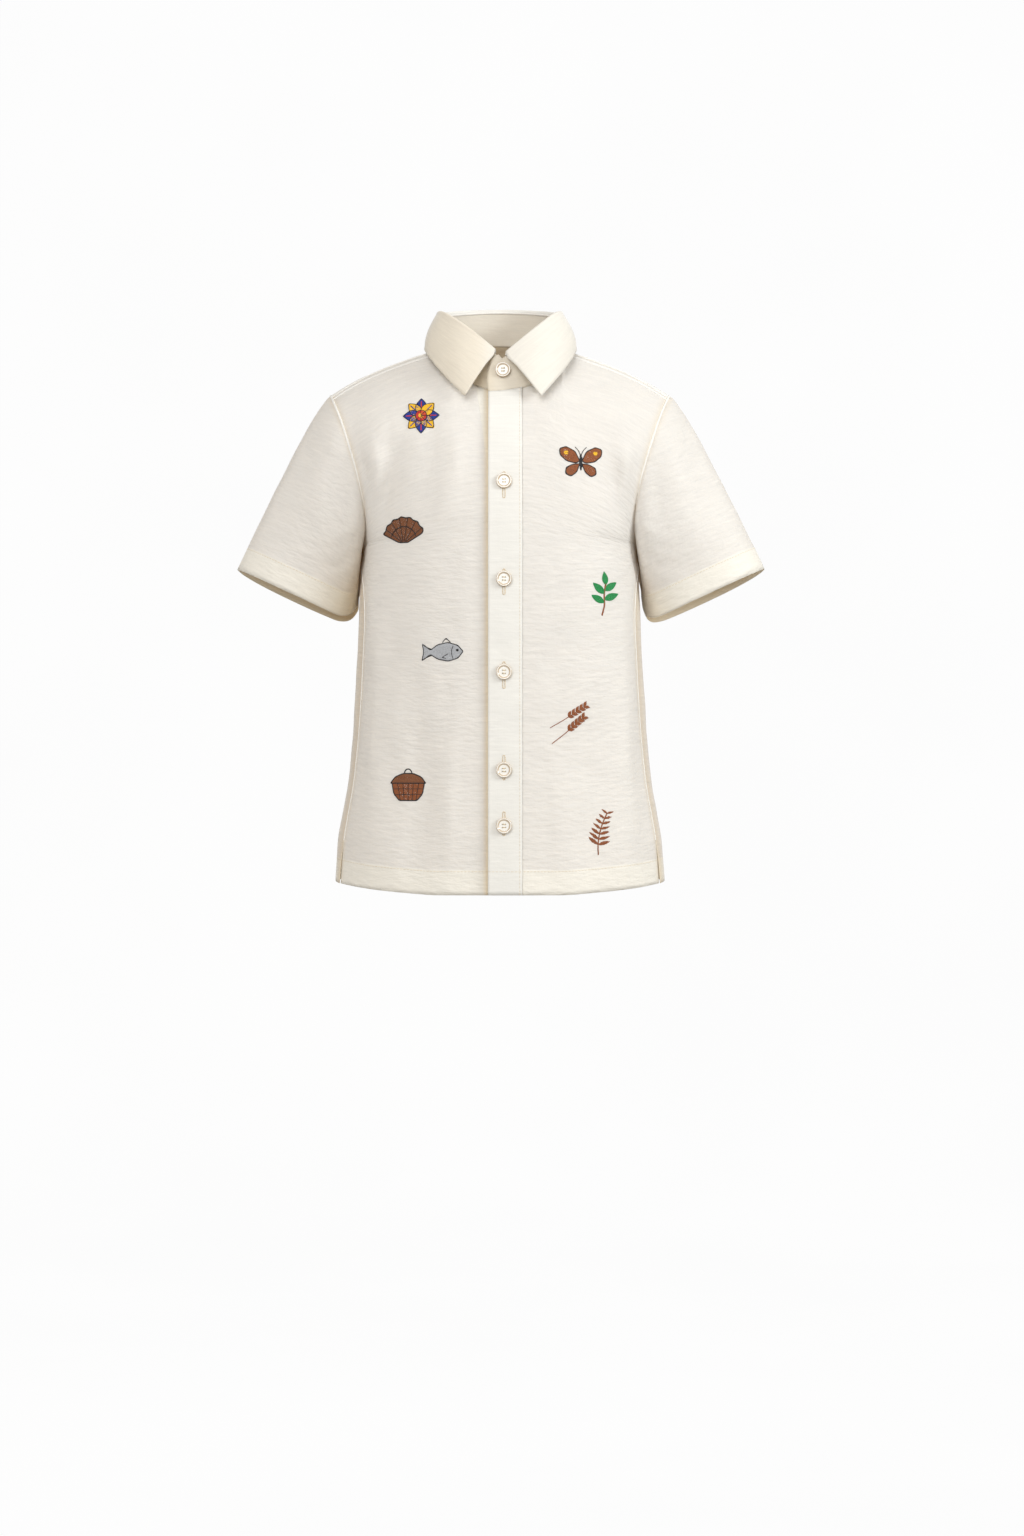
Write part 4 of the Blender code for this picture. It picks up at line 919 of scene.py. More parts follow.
class Shirt:
    """All the sewn pieces on one form, so that their edges meet."""

    def __init__(self) -> None:
        """Work out the coarse grids of the solids and the fine grids from them."""
        right, left = front_grid(-1), front_grid(1)
        back = back_grid(BACK_COLUMNS)
        sewn = slice(BODY_ROWS.index(1), len(BODY_ROWS))
        back[sewn, 0], back[sewn, -1] = left[sewn, -1], right[sewn, 0]
        yoke = yoke_grid(back, left, right)
        self.right = Cloth("front_right_cloth", finer_grid(right))
        self.left = Cloth("front_left_cloth", finer_grid(left))
        self.back = Cloth("back_cloth", finer_grid(back))
        self.yoke = Cloth("yoke_cloth", finer_grid(yoke))
        self.sleeve_right = self.sleeve(-1, right, back, yoke, RIGHT_CUFF)
        self.sleeve_left = self.sleeve(1, left, back, yoke, LEFT_CUFF)
        self.stand = Cloth("collar_stand_cloth", finer_grid(stand_grid(left, right, yoke)))
        self.fall = Cloth("collar_fall_cloth", finer_grid(fall_grid()))
        self.join()
        for cloth in (self.left, self.right, self.back):
            cloth.relax(*EASED_AT_UNDERARM)
        for cloth in (self.left, self.right):
            cloth.relax(*EASED_AT_SHOULDER)
        self.crease()

    def crease(self) -> None:
        """Press the folds of wear into every piece."""
        front = {Side.FRONT: FRONT_CREASES, Side.LEFT: SIDE_CREASES, Side.RIGHT: SIDE_CREASES}
        self.left.press(front)
        self.right.press(front)
        self.back.press({Side.BACK: BACK_CREASES, Side.LEFT: SIDE_CREASES,
                         Side.RIGHT: SIDE_CREASES})
        self.yoke.press({}, rumple=0.0002, sewn=(True, True, True, True))
        sleeves = {Side.FRONT: SLEEVE_FRONT_CREASES, Side.BACK: SLEEVE_BACK_CREASES,
                   Side.LEFT: SLEEVE_SIDE_CREASES, Side.RIGHT: SLEEVE_SIDE_CREASES}
        self.sleeve_left.press(sleeves)
        self.sleeve_right.press(sleeves, mirrored=True)
        self.fall.press({}, rumple=0.00012, sewn=(False, True, False, False))

    def sleeve(self, side: int, front: Array, back: Array, yoke: Array, cuff: Cuff) -> Cloth:
        """Make one sleeve from its armhole down to its cuff."""
        name = "sleeve_left_cloth" if side > 0 else "sleeve_right_cloth"
        ring = armhole_ring(side, front, back, yoke)
        return Cloth(name, finer_grid(sleeve_grid(side, ring, cuff), True), True)

    def join(self) -> None:
        """Bring the fine edges that are sewn together onto each other."""
        rows = SIDE_SEAM_ROWS
        for front, column, edge in ((self.left, 0, -1), (self.right, -1, 0)):
            self.back.grid[rows, column] = front.grid[rows, edge]
        self.yoke.grid[0] = self.back.grid[-1]
        front_tops = np.concatenate([self.left.grid[-1], self.right.grid[-1],
                                     self.left.grid[:, -1], self.right.grid[:, 0]])
        for column in (0, -1):
            self.yoke.grid[:, column] = snapped(self.yoke.grid[:, column], front_tops)
        self.yoke.grid[-1] = snapped(self.yoke.grid[-1], front_tops)
        body = np.concatenate([front_tops, self.back.grid[:, 0], self.back.grid[:, -1],
                               self.yoke.grid[:, 0], self.yoke.grid[:, -1], self.yoke.grid[-1]])
        for sleeve in (self.sleeve_right, self.sleeve_left):
            sleeve.grid[-1] = snapped(sleeve.grid[-1], body)
        self.stand.grid[0] = snapped(self.stand.grid[0], body)


# ---------------------------------------------------------------- materials


Socket = bpy.types.NodeSocket


class Graph:
    """A short way to lay nodes into a material or a shader group."""

    def __init__(self, tree: bpy.types.NodeTree) -> None:
        """Work on one node tree."""
        self.tree = tree

    def node(self, kind: str, inputs: dict | None = None, **settings) -> bpy.types.Node:
        """Add a node.

        Args:
            kind: the node's type name, without its ShaderNode prefix.
            inputs: values or sockets for its inputs, by name or number.
            settings: properties of the node.

        Returns:
            The new node.
        """
        node = self.tree.nodes.new(kind if kind.startswith("NodeGroup") else "ShaderNode" + kind)
        for name, value in settings.items():
            setattr(node, name, value)
        return self.fill(node, inputs or {})

    def fill(self, node: bpy.types.Node, inputs: dict) -> bpy.types.Node:
        """Link each of a node's inputs to a socket, or set its constant."""
        for key, value in inputs.items():
            if isinstance(value, Socket):
                self.tree.links.new(value, node.inputs[key])
            else:
                node.inputs[key].default_value = value
        return node

    def math(self, operation: str, first, second=0.0, third=0.0) -> Socket:
        """One sum on single values."""
        return self.node("Math", {0: first, 1: second, 2: third}, operation=operation).outputs[0]

    def blend(self, first, first_share: float, second, second_share: float) -> Socket:
        """The sum of a share of one value and a share of another."""
        return self.math("ADD", self.math("MULTIPLY", first, first_share),
                         self.math("MULTIPLY", second, second_share))

    def ramp(self, value, low: float, high: float, to_low: float = 0.0,
             to_high: float = 1.0) -> Socket:
        """Map a range smoothly onto another."""
        limits = {"From Min": low, "From Max": high, "To Min": to_low, "To Max": to_high}
        return self.node("MapRange", {"Value": value, **limits},
                         interpolation_type="SMOOTHSTEP").outputs["Result"]

    def mix(self, share, first, second) -> Socket:
        """Blend two colours."""
        first, second = (value if isinstance(value, Socket) else (*value, 1.0)
                         for value in (first, second))
        return self.node("Mix", {0: share, 6: first, 7: second}, data_type="RGBA").outputs[2]

    def noise(self, vector, scale: float, detail: float = 3.0, roughness: float = 0.55) -> Socket:
        """Noise around 0.5."""
        return self.node("TexNoise", {"Vector": vector, "Scale": scale, "Detail": detail,
                                      "Roughness": roughness}).outputs["Fac"]

    def threads(self, vector, across: float, along: float, detail: float = 3.0,
                roughness: float = 0.55) -> Socket:
        """Noise with so many cells to a metre across and along the cloth."""
        return self.noise(self.times(vector, (across, along, 1.0)), 1.0, detail, roughness)

    def times(self, vector, factors: Triple) -> Socket:
        """Stretch a place or tint a colour."""
        return self.node("VectorMath", {0: vector, 1: factors}, operation="MULTIPLY").outputs[0]

    def shade(self, colour, value) -> Socket:
        """Brighten or darken a colour."""
        return self.node("VectorMath", {0: colour, "Scale": value}, operation="SCALE").outputs[0]

    def map(self, name: str) -> Socket:
        """Places on a UV map."""
        return self.node("UVMap", uv_map=name).outputs[0]

    def split(self, vector) -> Sequence[Socket]:
        """The three parts of a vector."""
        return self.node("SeparateXYZ", {0: vector}).outputs

    def bump(self, strength: float, distance: float, height) -> Socket:
        """Relief, as a direction out."""
        inputs = {"Strength": strength, "Distance": distance, "Height": height}
        return self.node("Bump", inputs).outputs[0]


def new_material(name: str) -> tuple[bpy.types.Material, Graph, bpy.types.Node]:
    """Start a material, with its graph and its main shader."""
    material = bpy.data.materials.new(name)
    material.use_nodes = True
    return material, Graph(material.node_tree), material.node_tree.nodes["Principled BSDF"]


def new_group(name: str, gives: Sequence[str]) -> tuple[Graph, Socket, bpy.types.Node]:
    """Start a shader group that takes a place on the cloth.

    Args:
        name: the group's name.
        gives: the names of its outputs, all single values.

    Returns:
        Its graph, the place, and its output node.
    """
    group = bpy.data.node_groups.new(name, "ShaderNodeTree")
    group.interface.new_socket("Place", in_out="INPUT", socket_type="NodeSocketVector")
    for output in gives:
        group.interface.new_socket(output, in_out="OUTPUT", socket_type="NodeSocketFloat")
    graph = Graph(group)
    return graph, graph.node("NodeGroupInput").outputs["Place"], graph.node("NodeGroupOutput")


@dataclass(frozen=True)
class ClothFinish:
    """How one cloth of the shirt looks."""

    name: str
    single: Triple
    double: Triple
    doubled: float               # 1 where the whole piece is two layers
    slub: float = 1.0
    crinkle: float = 1.0
    roughness: float = 0.62
    sheen: float = 0.25
    through: Triple = (1.0, 0.90, 0.70)    # tints the light that comes through it
    painted_shade: Triple = (0.86, 0.70, 0.45)    # tan of the painted shade, where the cloth lies close and deep


SHEER = ClothFinish("barong_sheer_cloth", (0.895, 0.888, 0.866), (0.878, 0.852, 0.780), 0.0)
YOKE_CLOTH = ClothFinish("barong_yoke_cloth", (0.885, 0.860, 0.820), (0.880, 0.855, 0.805), 1.0)
COLLAR_CLOTH = ClothFinish("barong_collar_cloth", (0.880, 0.858, 0.818), (0.868, 0.856, 0.814), 1.0,
                           slub=0.8, crinkle=0.35)
# the seams' ridges: whiter for their folded turnings, and partly a painted highlight along each
# ridge
SEAM_CLOTH = ClothFinish("barong_seam_cloth", (0.930, 0.915, 0.880), (0.930, 0.915, 0.880), 1.0,
                         slub=0.5, crinkle=0.2)
# the inner faces: darker and tan, painted shade for the inside of the shirt
SHADED_INSIDE = ClothFinish("barong_cloth_inside", (0.820, 0.735, 0.590), (0.830, 0.735, 0.570), 0.0)


def weave_group() -> bpy.types.NodeTree:
    """Thin slubby plain weave in metres: its relief, the slubs and where its threads crowd."""
    graph, place, end = new_group("slubby weave", ("Relief", "Slub", "Cloud", "Crinkle"))
    stray = graph.noise(place, 55.0, 2.0)
    bend = graph.node("CombineXYZ", {"X": graph.math("MULTIPLY", stray, 0.0012),
                                     "Y": graph.math("MULTIPLY", stray, 0.0016)}).outputs[0]
    bent = graph.node("VectorMath", {0: place, 1: bend}, operation="ADD").outputs[0]
    weft = graph.threads(bent, 34.0, 1150.0, 3.0, 0.6)
    warp = graph.threads(bent, 1150.0, 46.0, 3.0, 0.6)
    slubs = graph.ramp(graph.threads(bent, 38.0, 560.0, 1.0), 0.60, 0.80)
    slubs_up = graph.ramp(graph.threads(bent, 760.0, 70.0, 1.0), 0.66, 0.80)
    slub = graph.math("MAXIMUM", slubs, graph.math("MULTIPLY", slubs_up, 0.45))
    patches = graph.threads(bent, 24.0, 40.0, 4.0, 0.6)
    streaks = graph.threads(bent, 34.0, 380.0, 2.0, 0.6)
    graph.fill(end, {"Relief": graph.blend(graph.blend(weft, 0.62, warp, 0.38), 0.70, slub, 0.22),
                     "Slub": slub, "Cloud": graph.blend(patches, 0.4, streaks, 0.6),
                     "Crinkle": graph.threads(bent, 95.0, 260.0, 3.0, 0.5)})
    return graph.tree


def cloth_material(finish: ClothFinish, weave: bpy.types.NodeTree) -> bpy.types.Material:
    """Make one cloth: slubby, lightly crinkled, creamier where it lies double, and tinted tan with
    painted shade where its tone map says.
    """
    material, graph, shader = new_material(finish.name)
    threads = graph.node("Group", node_tree=weave)
    graph.fill(threads, {"Place": graph.map("weave")})
    relief, slub, cloud, crinkles = threads.outputs
    edges = graph.split(graph.map("edges"))
    hem = graph.ramp(edges[0], HEM_DEPTH, HEM_DEPTH + 0.0008, 1.0, 0.0)
    facing = graph.ramp(edges[1], 0.0, 0.0008, 1.0, 0.0)
    double = graph.math("MAXIMUM", graph.math("MAXIMUM", hem, facing), finish.doubled)
    plain = graph.mix(double, finish.single, finish.double)
    # painted shade: where the tone map says, the colour is tinted tan as if the cloth lay in shadow
    base = graph.mix(graph.split(graph.map("tone"))[0], plain, graph.times(plain, finish.painted_shade))
    light = graph.ramp(cloud, 0.34, 0.66, 0.975, 1.020)
    slubbed = graph.math("MULTIPLY_ADD", slub, 0.018 * finish.slub, light)
    fine = graph.math("MULTIPLY_ADD", relief, 0.16, -0.08)
    colour = graph.shade(base, graph.math("ADD", slubbed, fine))
    height = graph.blend(relief, 0.00022, crinkles, 0.0016 * finish.crinkle)
    out = graph.bump(0.55, 1.0, graph.math("MULTIPLY_ADD", double, 0.0002, height))
    graph.fill(shader, {
        "Base Color": colour, "Roughness": finish.roughness, "Normal": out,
        "Sheen Weight": finish.sheen, "Sheen Roughness": 0.45, "Specular IOR Level": 0.28})
    tinted = graph.times(colour, finish.through)
    through = graph.node("BsdfTranslucent", {"Color": tinted, "Normal": out})
    thin = graph.math("MULTIPLY_ADD", double, -0.14, 0.30)
    both = graph.node("MixShader", {0: thin, 1: shader.outputs[0], 2: through.outputs[0]})
    graph.fill(graph.tree.nodes["Material Output"], {"Surface": both.outputs[0]})
    return material


# ---------------------------------------------------------------- sheets in the scene


def closed(grid: Array) -> Array:
    """A grid whose first column follows its last one again."""
    return np.concatenate([grid, grid[:, :1]], axis=1)


def grid_faces(index: Array) -> Array:
    """The corners of a grid's quads, normals out of the shirt."""
    corners = (index[:-1, :-1], index[:-1, 1:], index[1:, 1:], index[1:, :-1])
    return np.stack(corners, axis=-1).reshape(-1, 4)


def add_mesh(name: str, points: Array, faces: list[list[int]],
             materials: Sequence[bpy.types.Material], maps: dict[str, Array],
             slots: Array | None = None) -> bpy.types.Object:
    """Add a smooth mesh to the scene.

    Args:
        name: the piece's name.
        points: its points.
        faces: the numbers of each face's corners.
        materials: its finishes.
        maps: the UV place of each face corner, by the map's name.
        slots: the number of each face's finish, if there are several.

    Returns:
        The new object.
    """
    mesh = bpy.data.meshes.new(name)
    mesh.from_pydata(points.reshape(-1, 3).tolist(), [], faces)
    for map_name, places in maps.items():
        layer = mesh.uv_layers.new(name=map_name)
        layer.data.foreach_set("uv", places.astype(np.float32).reshape(-1))
    mesh.polygons.foreach_set("use_smooth", np.ones(len(faces), dtype=bool))
    for material in materials:
        mesh.materials.append(material)
    if slots is not None:
        mesh.polygons.foreach_set("material_index", slots.astype(np.int32).reshape(-1))
    piece = bpy.data.objects.new(name, mesh)
    bpy.context.scene.collection.objects.link(piece)
    return piece


def sheet_object(cloth: Cloth, materials: tuple[bpy.types.Material, bpy.types.Material],
                 edges: Array, tone: Array, offset: float,
                 thickness: float = SHEET) -> bpy.types.Object:
    """Make a thin sheet from a cloth's grid.

    Args:
        cloth: the piece.
        materials: its finish outside and inside.
        edges: metres to its lower edge and to its turnings, for each point of the grid.
        tone: how much painted shade the cloth has at each point, 0 to 1.
        offset: how far out of the grid the sheet's middle lies.
        thickness: the sheet's thickness.

    Returns:
        The new object, with its thickness applied.
    """
    grid = cloth.grid + cloth.normals * offset
    rows, columns = grid.shape[:2]
    index = np.arange(rows * columns).reshape(rows, columns)
    maps = {"weave": cloth.flat_map(), "edges": edges,
            "tone": np.stack([tone, np.zeros(tone.shape)], axis=-1)}
    if cloth.wrapped:
        index = closed(index)
        maps |= {name: closed(maps[name]) for name in ("edges", "tone")}
    corners = grid_faces(np.arange(index.size).reshape(index.shape))
    piece = add_mesh(cloth.name, grid, grid_faces(index).tolist(), materials,
                     {name: places.reshape(-1, 2)[corners] for name, places in maps.items()})
    solidify = piece.modifiers.new("thickness", "SOLIDIFY")
    solidify.thickness = thickness
    solidify.offset = 0.0
    solidify.material_offset = 1
    solidify.use_even_offset = False
    apply_modifiers(piece)
    return piece


def declare(piece: bpy.types.Object, node: str | None = None) -> None:
    """State what a piece rides on, and hide the solid that it stands for if there is one."""
    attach(piece, "root")
    if node:
        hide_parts(node)


def apply_modifiers(piece: bpy.types.Object) -> None:
    """Turn a piece's modifiers into its own mesh."""
    bpy.ops.object.select_all(action="DESELECT")
    piece.select_set(True)
    bpy.context.view_layer.objects.active = piece
    for modifier in list(piece.modifiers):
        bpy.ops.object.modifier_apply(modifier=modifier.name)


# ---------------------------------------------------------------- thread


class StitchWork:
    """Collects stitches and turns them into one raised mesh."""

    # a strand from end to end: share of its length, and shares of its width and height there
    strand = ((0.0, 0.35, 0.0), (0.16, 1.0, 0.85), (0.84, 1.0, 0.85), (1.0, 0.35, 0.0))
    flat = 0.6               # width of the strand's top to that of its foot
    sunk = 0.0001            # how far its foot lies in the cloth
    lag = 0.013              # metres between the places of two stitches on the thread

    def __init__(self, name: str, materials: Sequence[bpy.types.Material]) -> None:
        """Start with no stitches."""
        self.name, self.materials = name, materials
        self.rows: list[Array] = []

    def lay(self, start: Array, end: Array, out: Array, width: float, height: float,
            finish: int = 0) -> None:
        """Lay stitches, each from a start to an end on the cloth.

        Args:
            start: where each stitch starts, or the one stitch.
            end: where it ends.
            out: the direction out of the cloth.
            width: the thread's width.
            height: how far it stands out.
            finish: number of its material slot.
        """
        places = np.hstack([np.atleast_2d(part) for part in (start, end, out)])
        self.rows.append(np.hstack([places, np.tile((width, height, finish), (len(places), 1))]))

    def run(self, points: Array, outs: Array, length: float, gap: float, width: float,
            height: float) -> None:
        """Sew evenly along a line on the cloth.

        Args:
            points: the line's points.
            outs: the direction out of the cloth at each point.
            length: the length of one stitch.
            gap: the space between two stitches.
            width: the thread's width.
            height: how far it stands out.
        """
        run = distances(points)
        count = max(int(run[-1] / (length + gap)), 1)
        starts = np.arange(count) * run[-1] / count
        ends = starts + run[-1] / count - gap
        self.lay(at_distances(starts, run, points), at_distances(ends, run, points),
                 unit(at_distances(starts, run, outs)), width, height)

    def build(self) -> bpy.types.Object:
        """Make the mesh: each stitch is a low rounded strand whose ends dip into the cloth."""
        start, end, out, sizes = np.split(np.vstack(self.rows), (3, 6, 9), axis=1)
        width, height, finish = np.split(sizes, 3, axis=1)
        across = np.cross(unit(end - start), out) * width / 2.0
        foot = out * self.sunk
        rings = []
        for share, wide, high in self.strand:
            middle, top = start + (end - start) * share, out * height * high
            side = across * wide
            rings += [middle - side - foot, middle - side * self.flat + top,
                      middle + side * self.flat + top, middle + side - foot]
        faces = np.concatenate([grid_faces(closed(np.arange(16).reshape(4, 4))),
                                [(3, 2, 1, 0), (12, 13, 14, 15)]])
        corners = (faces[None] + 16 * np.arange(len(start))[:, None, None]).reshape(-1, 4)
        lengths = np.linalg.norm(end - start, axis=1)
        along_it = np.repeat([share for share, _, _ in self.strand], 4)[None] * lengths[:, None]
        round_it = np.tile([0.0, 0.33, 0.66, 1.0], 4)[None] * width
        along_it += self.lag * np.arange(len(start))[:, None]
        places = np.stack([along_it, round_it], axis=-1)
        return add_mesh(self.name, np.stack(rings, axis=1), corners.tolist(), self.materials,
                        {"weave": places.reshape(-1, 2)[corners]}, np.repeat(finish, len(faces)))


class Surface:
    """Finds where a point seen from the front lies on a cloth."""

    def __init__(self, cloth: Cloth, offset: float) -> None:
        """Keep the cloth's outer skin as a search tree."""
        grid = cloth.grid + cloth.normals * offset
        index = np.arange(grid.shape[0] * grid.shape[1]).reshape(grid.shape[:2])
        self.tree = BVHTree.FromPolygons(grid.reshape(-1, 3).tolist(), grid_faces(index).tolist())

    def at(self, x: float, z: float) -> tuple[Array, Array]:
        """The point of the cloth at x and z, and its direction out."""
        point, normal, _, _ = self.tree.ray_cast(Vector((x, -1.0, z)), Vector((0.0, 1.0, 0.0)))
        if point is None:
            point, normal, _, _ = self.tree.find_nearest(Vector((x, -0.1, z)))
        return np.array(point), np.array(normal)


def thread_group() -> bpy.types.NodeTree:
    """Twist of a thread, in metres along and across the stitch."""
    graph, place, end = new_group("thread twist", ("Twist", "Tone"))
    along_it, across = graph.split(place)[:2]
    slant = graph.math("SINE", graph.blend(along_it, 9000.0, across, 14000.0))
    graph.fill(end, {"Twist": graph.math("MULTIPLY_ADD", slant, 0.5, 0.5),
                     "Tone": graph.threads(place, 160.0, 900.0)})
    return graph.tree


def thread_material(name: str, colour: Triple, twist: bpy.types.NodeTree) -> bpy.types.Material:
    """Make a soft lustrous thread of one colour."""
    material, graph, shader = new_material(name)
    strands = graph.node("Group", node_tree=twist)
    graph.fill(strands, {"Place": graph.map("weave")})
    turns, tone = strands.outputs
    value = graph.math("MULTIPLY_ADD", turns, 0.22, graph.math("MULTIPLY_ADD", tone, 0.5, 0.62))
    graph.fill(shader, {
        "Base Color": graph.shade(colour, value), "Normal": graph.bump(0.5, 0.0001, turns),
        "Roughness": 0.42, "Sheen Weight": 0.12, "Specular IOR Level": 0.28})
    return material


# ---------------------------------------------------------------- seams, hems and buttonholes


Line = tuple[Array, Array]       # points on a cloth, and the directions out at them


def contour(points: Array, outs: Array, distance: Array, value: float, lift: float) -> Line:
    """The line on a cloth at a set distance along the first axis of its grid.

    Args:
        points: the cloth's grid.
        outs: its directions out.
        distance: the distance of each point, rising along the first axis.
        value: the distance wanted.
        lift: how far out of the grid the line lies.

    Returns:
        The line.
    """
    line, out = (np.array([at_distances(value, distance[:, c], field[:, c])
                           for c in range(distance.shape[1])]) for field in (points, outs))
    return line + unit(out) * lift, unit(out)


class Hole(NamedTuple):
    """A buttonhole: the height of its button, and how far it runs above and below that."""

    middle: float
    above: float
    below: float


@dataclass
class Sewing:
    """The seams' welts, the hems' stitches and the buttonholes."""

    shirt: Shirt
    cloth: bpy.types.Material
    thread: bpy.types.Material
    stitch: float = 0.0021           # length of one stitch
    gap: float = 0.0007
    thread_width: float = 0.00042
    welt: tuple[float, float] = (0.0012, 0.00050)            # width and height of a seam's ridge
    open_welt: tuple[float, float] = (0.0020, 0.00070)       # at an armhole or a shoulder
    collar_welt: tuple[float, float] = (0.0024, 0.00090)
    collar_drop: float = 0.0006      # from the collar's inner edge down to its ridge
    fell: float = 0.0065             # from a shoulder seam to the edge of its felled turnings
    placket_inset: float = 0.0019    # from the placket's free edge to its stitching
    yoke_inset: float = 0.0016
    hem_inset: float = 0.0010        # from the turned edge of a hem to its stitching
    slit_half_width: float = 0.00045
    tack: float = 0.0009             # length of a buttonhole stitch
    tack_step: float = 0.0004
    holes: tuple[Hole, ...] = (
        Hole(-0.1180, 0.0072, -0.0126), Hole(-0.1970, 0.0070, -0.0118),
        Hole(-0.2720, 0.0072, -0.0124), Hole(-0.3510, 0.0108, -0.0072),
        Hole(-0.3960, 0.0104, -0.0070))

    def sew(self, band: Cloth) -> None:
        """Sew everything; the band is the placket."""
        skin, shirt = CLOTH / 2.0, self.shirt
        work = StitchWork("stitching", [self.thread])
        hemmed = (shirt.left, shirt.right, shirt.back, shirt.sleeve_left, shirt.sleeve_right, band)
        for cloth in hemmed:
            line = contour(cloth.grid, cloth.normals, run_lengths(cloth.grid, 0),
                           HEM_DEPTH - self.hem_inset, SHEET if cloth is band else skin)
            self.run(work, *(ringed(line) if cloth.wrapped else line))
        across = run_lengths(band.grid, 1)
        to_edge = (across[:, -1:] - across).T[::-1]
        turned_band = [np.swapaxes(field, 0, 1)[::-1] for field in (band.grid, band.normals)]
        self.run(work, *contour(*turned_band, to_edge, self.placket_inset, SHEET))
        yoke, up = shirt.yoke, run_lengths(shirt.yoke.grid, 0)
        self.run(work, *contour(yoke.grid, yoke.normals, up, self.yoke_inset, skin))
        line, outs = contour(yoke.grid[::-1], yoke.normals[::-1], (up[-1:] - up)[::-1],
                             self.yoke_inset, skin)
        for part in (slice(0, SHOULDER_END_COLUMN), slice(-SHOULDER_END_COLUMN, None)):
            self.run(work, line[part], outs[part])
        self.buttonholes(work, band)
        declare(work.build())
        self.welts()

    def run(self, work: StitchWork, line: Array, outs: Array) -> None:
        """Sew one line of running stitch."""
        work.run(line, outs, self.stitch, self.gap, self.thread_width, self.thread_width * 0.4)

    def buttonholes(self, work: StitchWork, band: Cloth) -> None:
        """Whip round each upright buttonhole with short stitches."""
        surface = Surface(band, SHEET)
        reaches = (self.slit_half_width, self.slit_half_width + self.tack)
        fan = np.linspace(-1.3, 1.3, 7)
        for hole in self.holes:
            heights = np.arange(hole.below, hole.above, self.tack_step)
            marks = [(side, 0.0, height) for side in (-1.0, 1.0) for height in heights]
            marks += [(math.sin(turn), math.cos(turn), hole.above) for turn in fan]
            marks += [(math.sin(turn), math.cos(turn), hole.below) for turn in fan + math.pi]
            for across, up, height in marks:
                (start, out), (end, _) = (
                    surface.at(BUTTON_X + across * reach, hole.middle + height + up * reach)
                    for reach in reaches)
                work.lay(start, end, out, self.thread_width, self.thread_width * 0.6)

    def welts(self) -> None:
        """Raise the soft ridges where the pieces are joined."""
        shirt, end, rows = self.shirt, SHOULDER_END_COLUMN, SIDE_SEAM_ROWS
        seams = {"back_yoke_seam": (shirt.yoke.grid[0], shirt.yoke.normals[1])}
        for name, front, sleeve, seam, shoulder in (
                ("left", shirt.left, shirt.sleeve_left, -1, slice(-end, None)),
                ("right", shirt.right, shirt.sleeve_right, 0, slice(0, end))):
            grid, normals = front.grid, front.normals
            seams[f"side_seam_{name}"] = (grid[rows, seam], normals[rows, seam])
            seams[f"shoulder_seam_{name}"] = (grid[-1, shoulder], normals[-2, shoulder])
            down = grid[::-1, shoulder]
            seams[f"shoulder_fell_{name}"] = contour(
                down, normals[::-1, shoulder], run_lengths(down, 0), self.fell, 0.0)
            outs = unit(sleeve.normals[-2] + sleeve.normals[-4])
            seams[f"armhole_seam_{name}"] = ringed((sleeve.grid[-1], outs))
            seams[f"sleeve_seam_{name}"] = (sleeve.grid[:, 0], sleeve.normals[:, 0])
        sizes = {"armhole": self.open_welt, "shoulder": self.open_welt}
        for name, (line, outs) in seams.items():
            size = sizes.get(name.split("_")[0], self.welt)
            line = (line + outs * CLOTH / 2.0, outs)
            declare(ridge(name, line, *size, self.cloth))
        edge = shirt.fall.grid[-1]
        line = (edge - [0.0, 0.0, self.collar_drop], -unit(edge * [1.0, 1.0, 0.0]))
        declare(ridge("collar_seam", line, *self.collar_welt, self.cloth))


def ringed(line: Line) -> Line:
    """A line led back to its first point."""
    return tuple(np.concatenate([field, field[:1]]) for field in line)


def ridge(name: str, line: Line, width: float, height: float,
          material: bpy.types.Material) -> bpy.types.Object:
    """Make a low rounded ridge whose foot follows a line."""
    points, outs = line
    across = unit(np.cross(unit(np.gradient(points, axis=0)), outs))
    profile = ((-0.5, -0.6), (-0.42, 0.55), (0.0, 1.0), (0.42, 0.55), (0.5, -0.6))
    rings = np.stack([points + across * width * side + outs * height * up for side, up in profile],
                     axis=1)
    count, sides = rings.shape[:2]
    index = np.arange(count * sides).reshape(count, sides)
    faces = grid_faces(closed(index)).tolist() + [index[0].tolist(), index[-1][::-1].tolist()]
    corners = np.concatenate([np.array(face) for face in faces])
    places = np.stack([np.tile(np.linspace(0.0, width, sides), count),
                       np.repeat(distances(points), sides)], axis=-1)
    return add_mesh(name, rings, faces, [material], {
        "weave": places[corners], "edges": np.tile([1.0, -1.0], (len(corners), 1)),
        "tone": np.zeros((len(corners), 2))})


# ---------------------------------------------------------------- buttons


@dataclass(frozen=True)
class PearlFinish:
    """How the buttons look: pale shell, with painted shade in tan round its rim and along the foot
    of its dish.
    """

    name: str = "barong_pearly_shell"
    pale: Triple = (0.83, 0.80, 0.73)
    cool: Triple = (0.79, 0.785, 0.77)
    # the tan of the painted shade
    edge: Triple = (0.44, 0.29, 0.13)


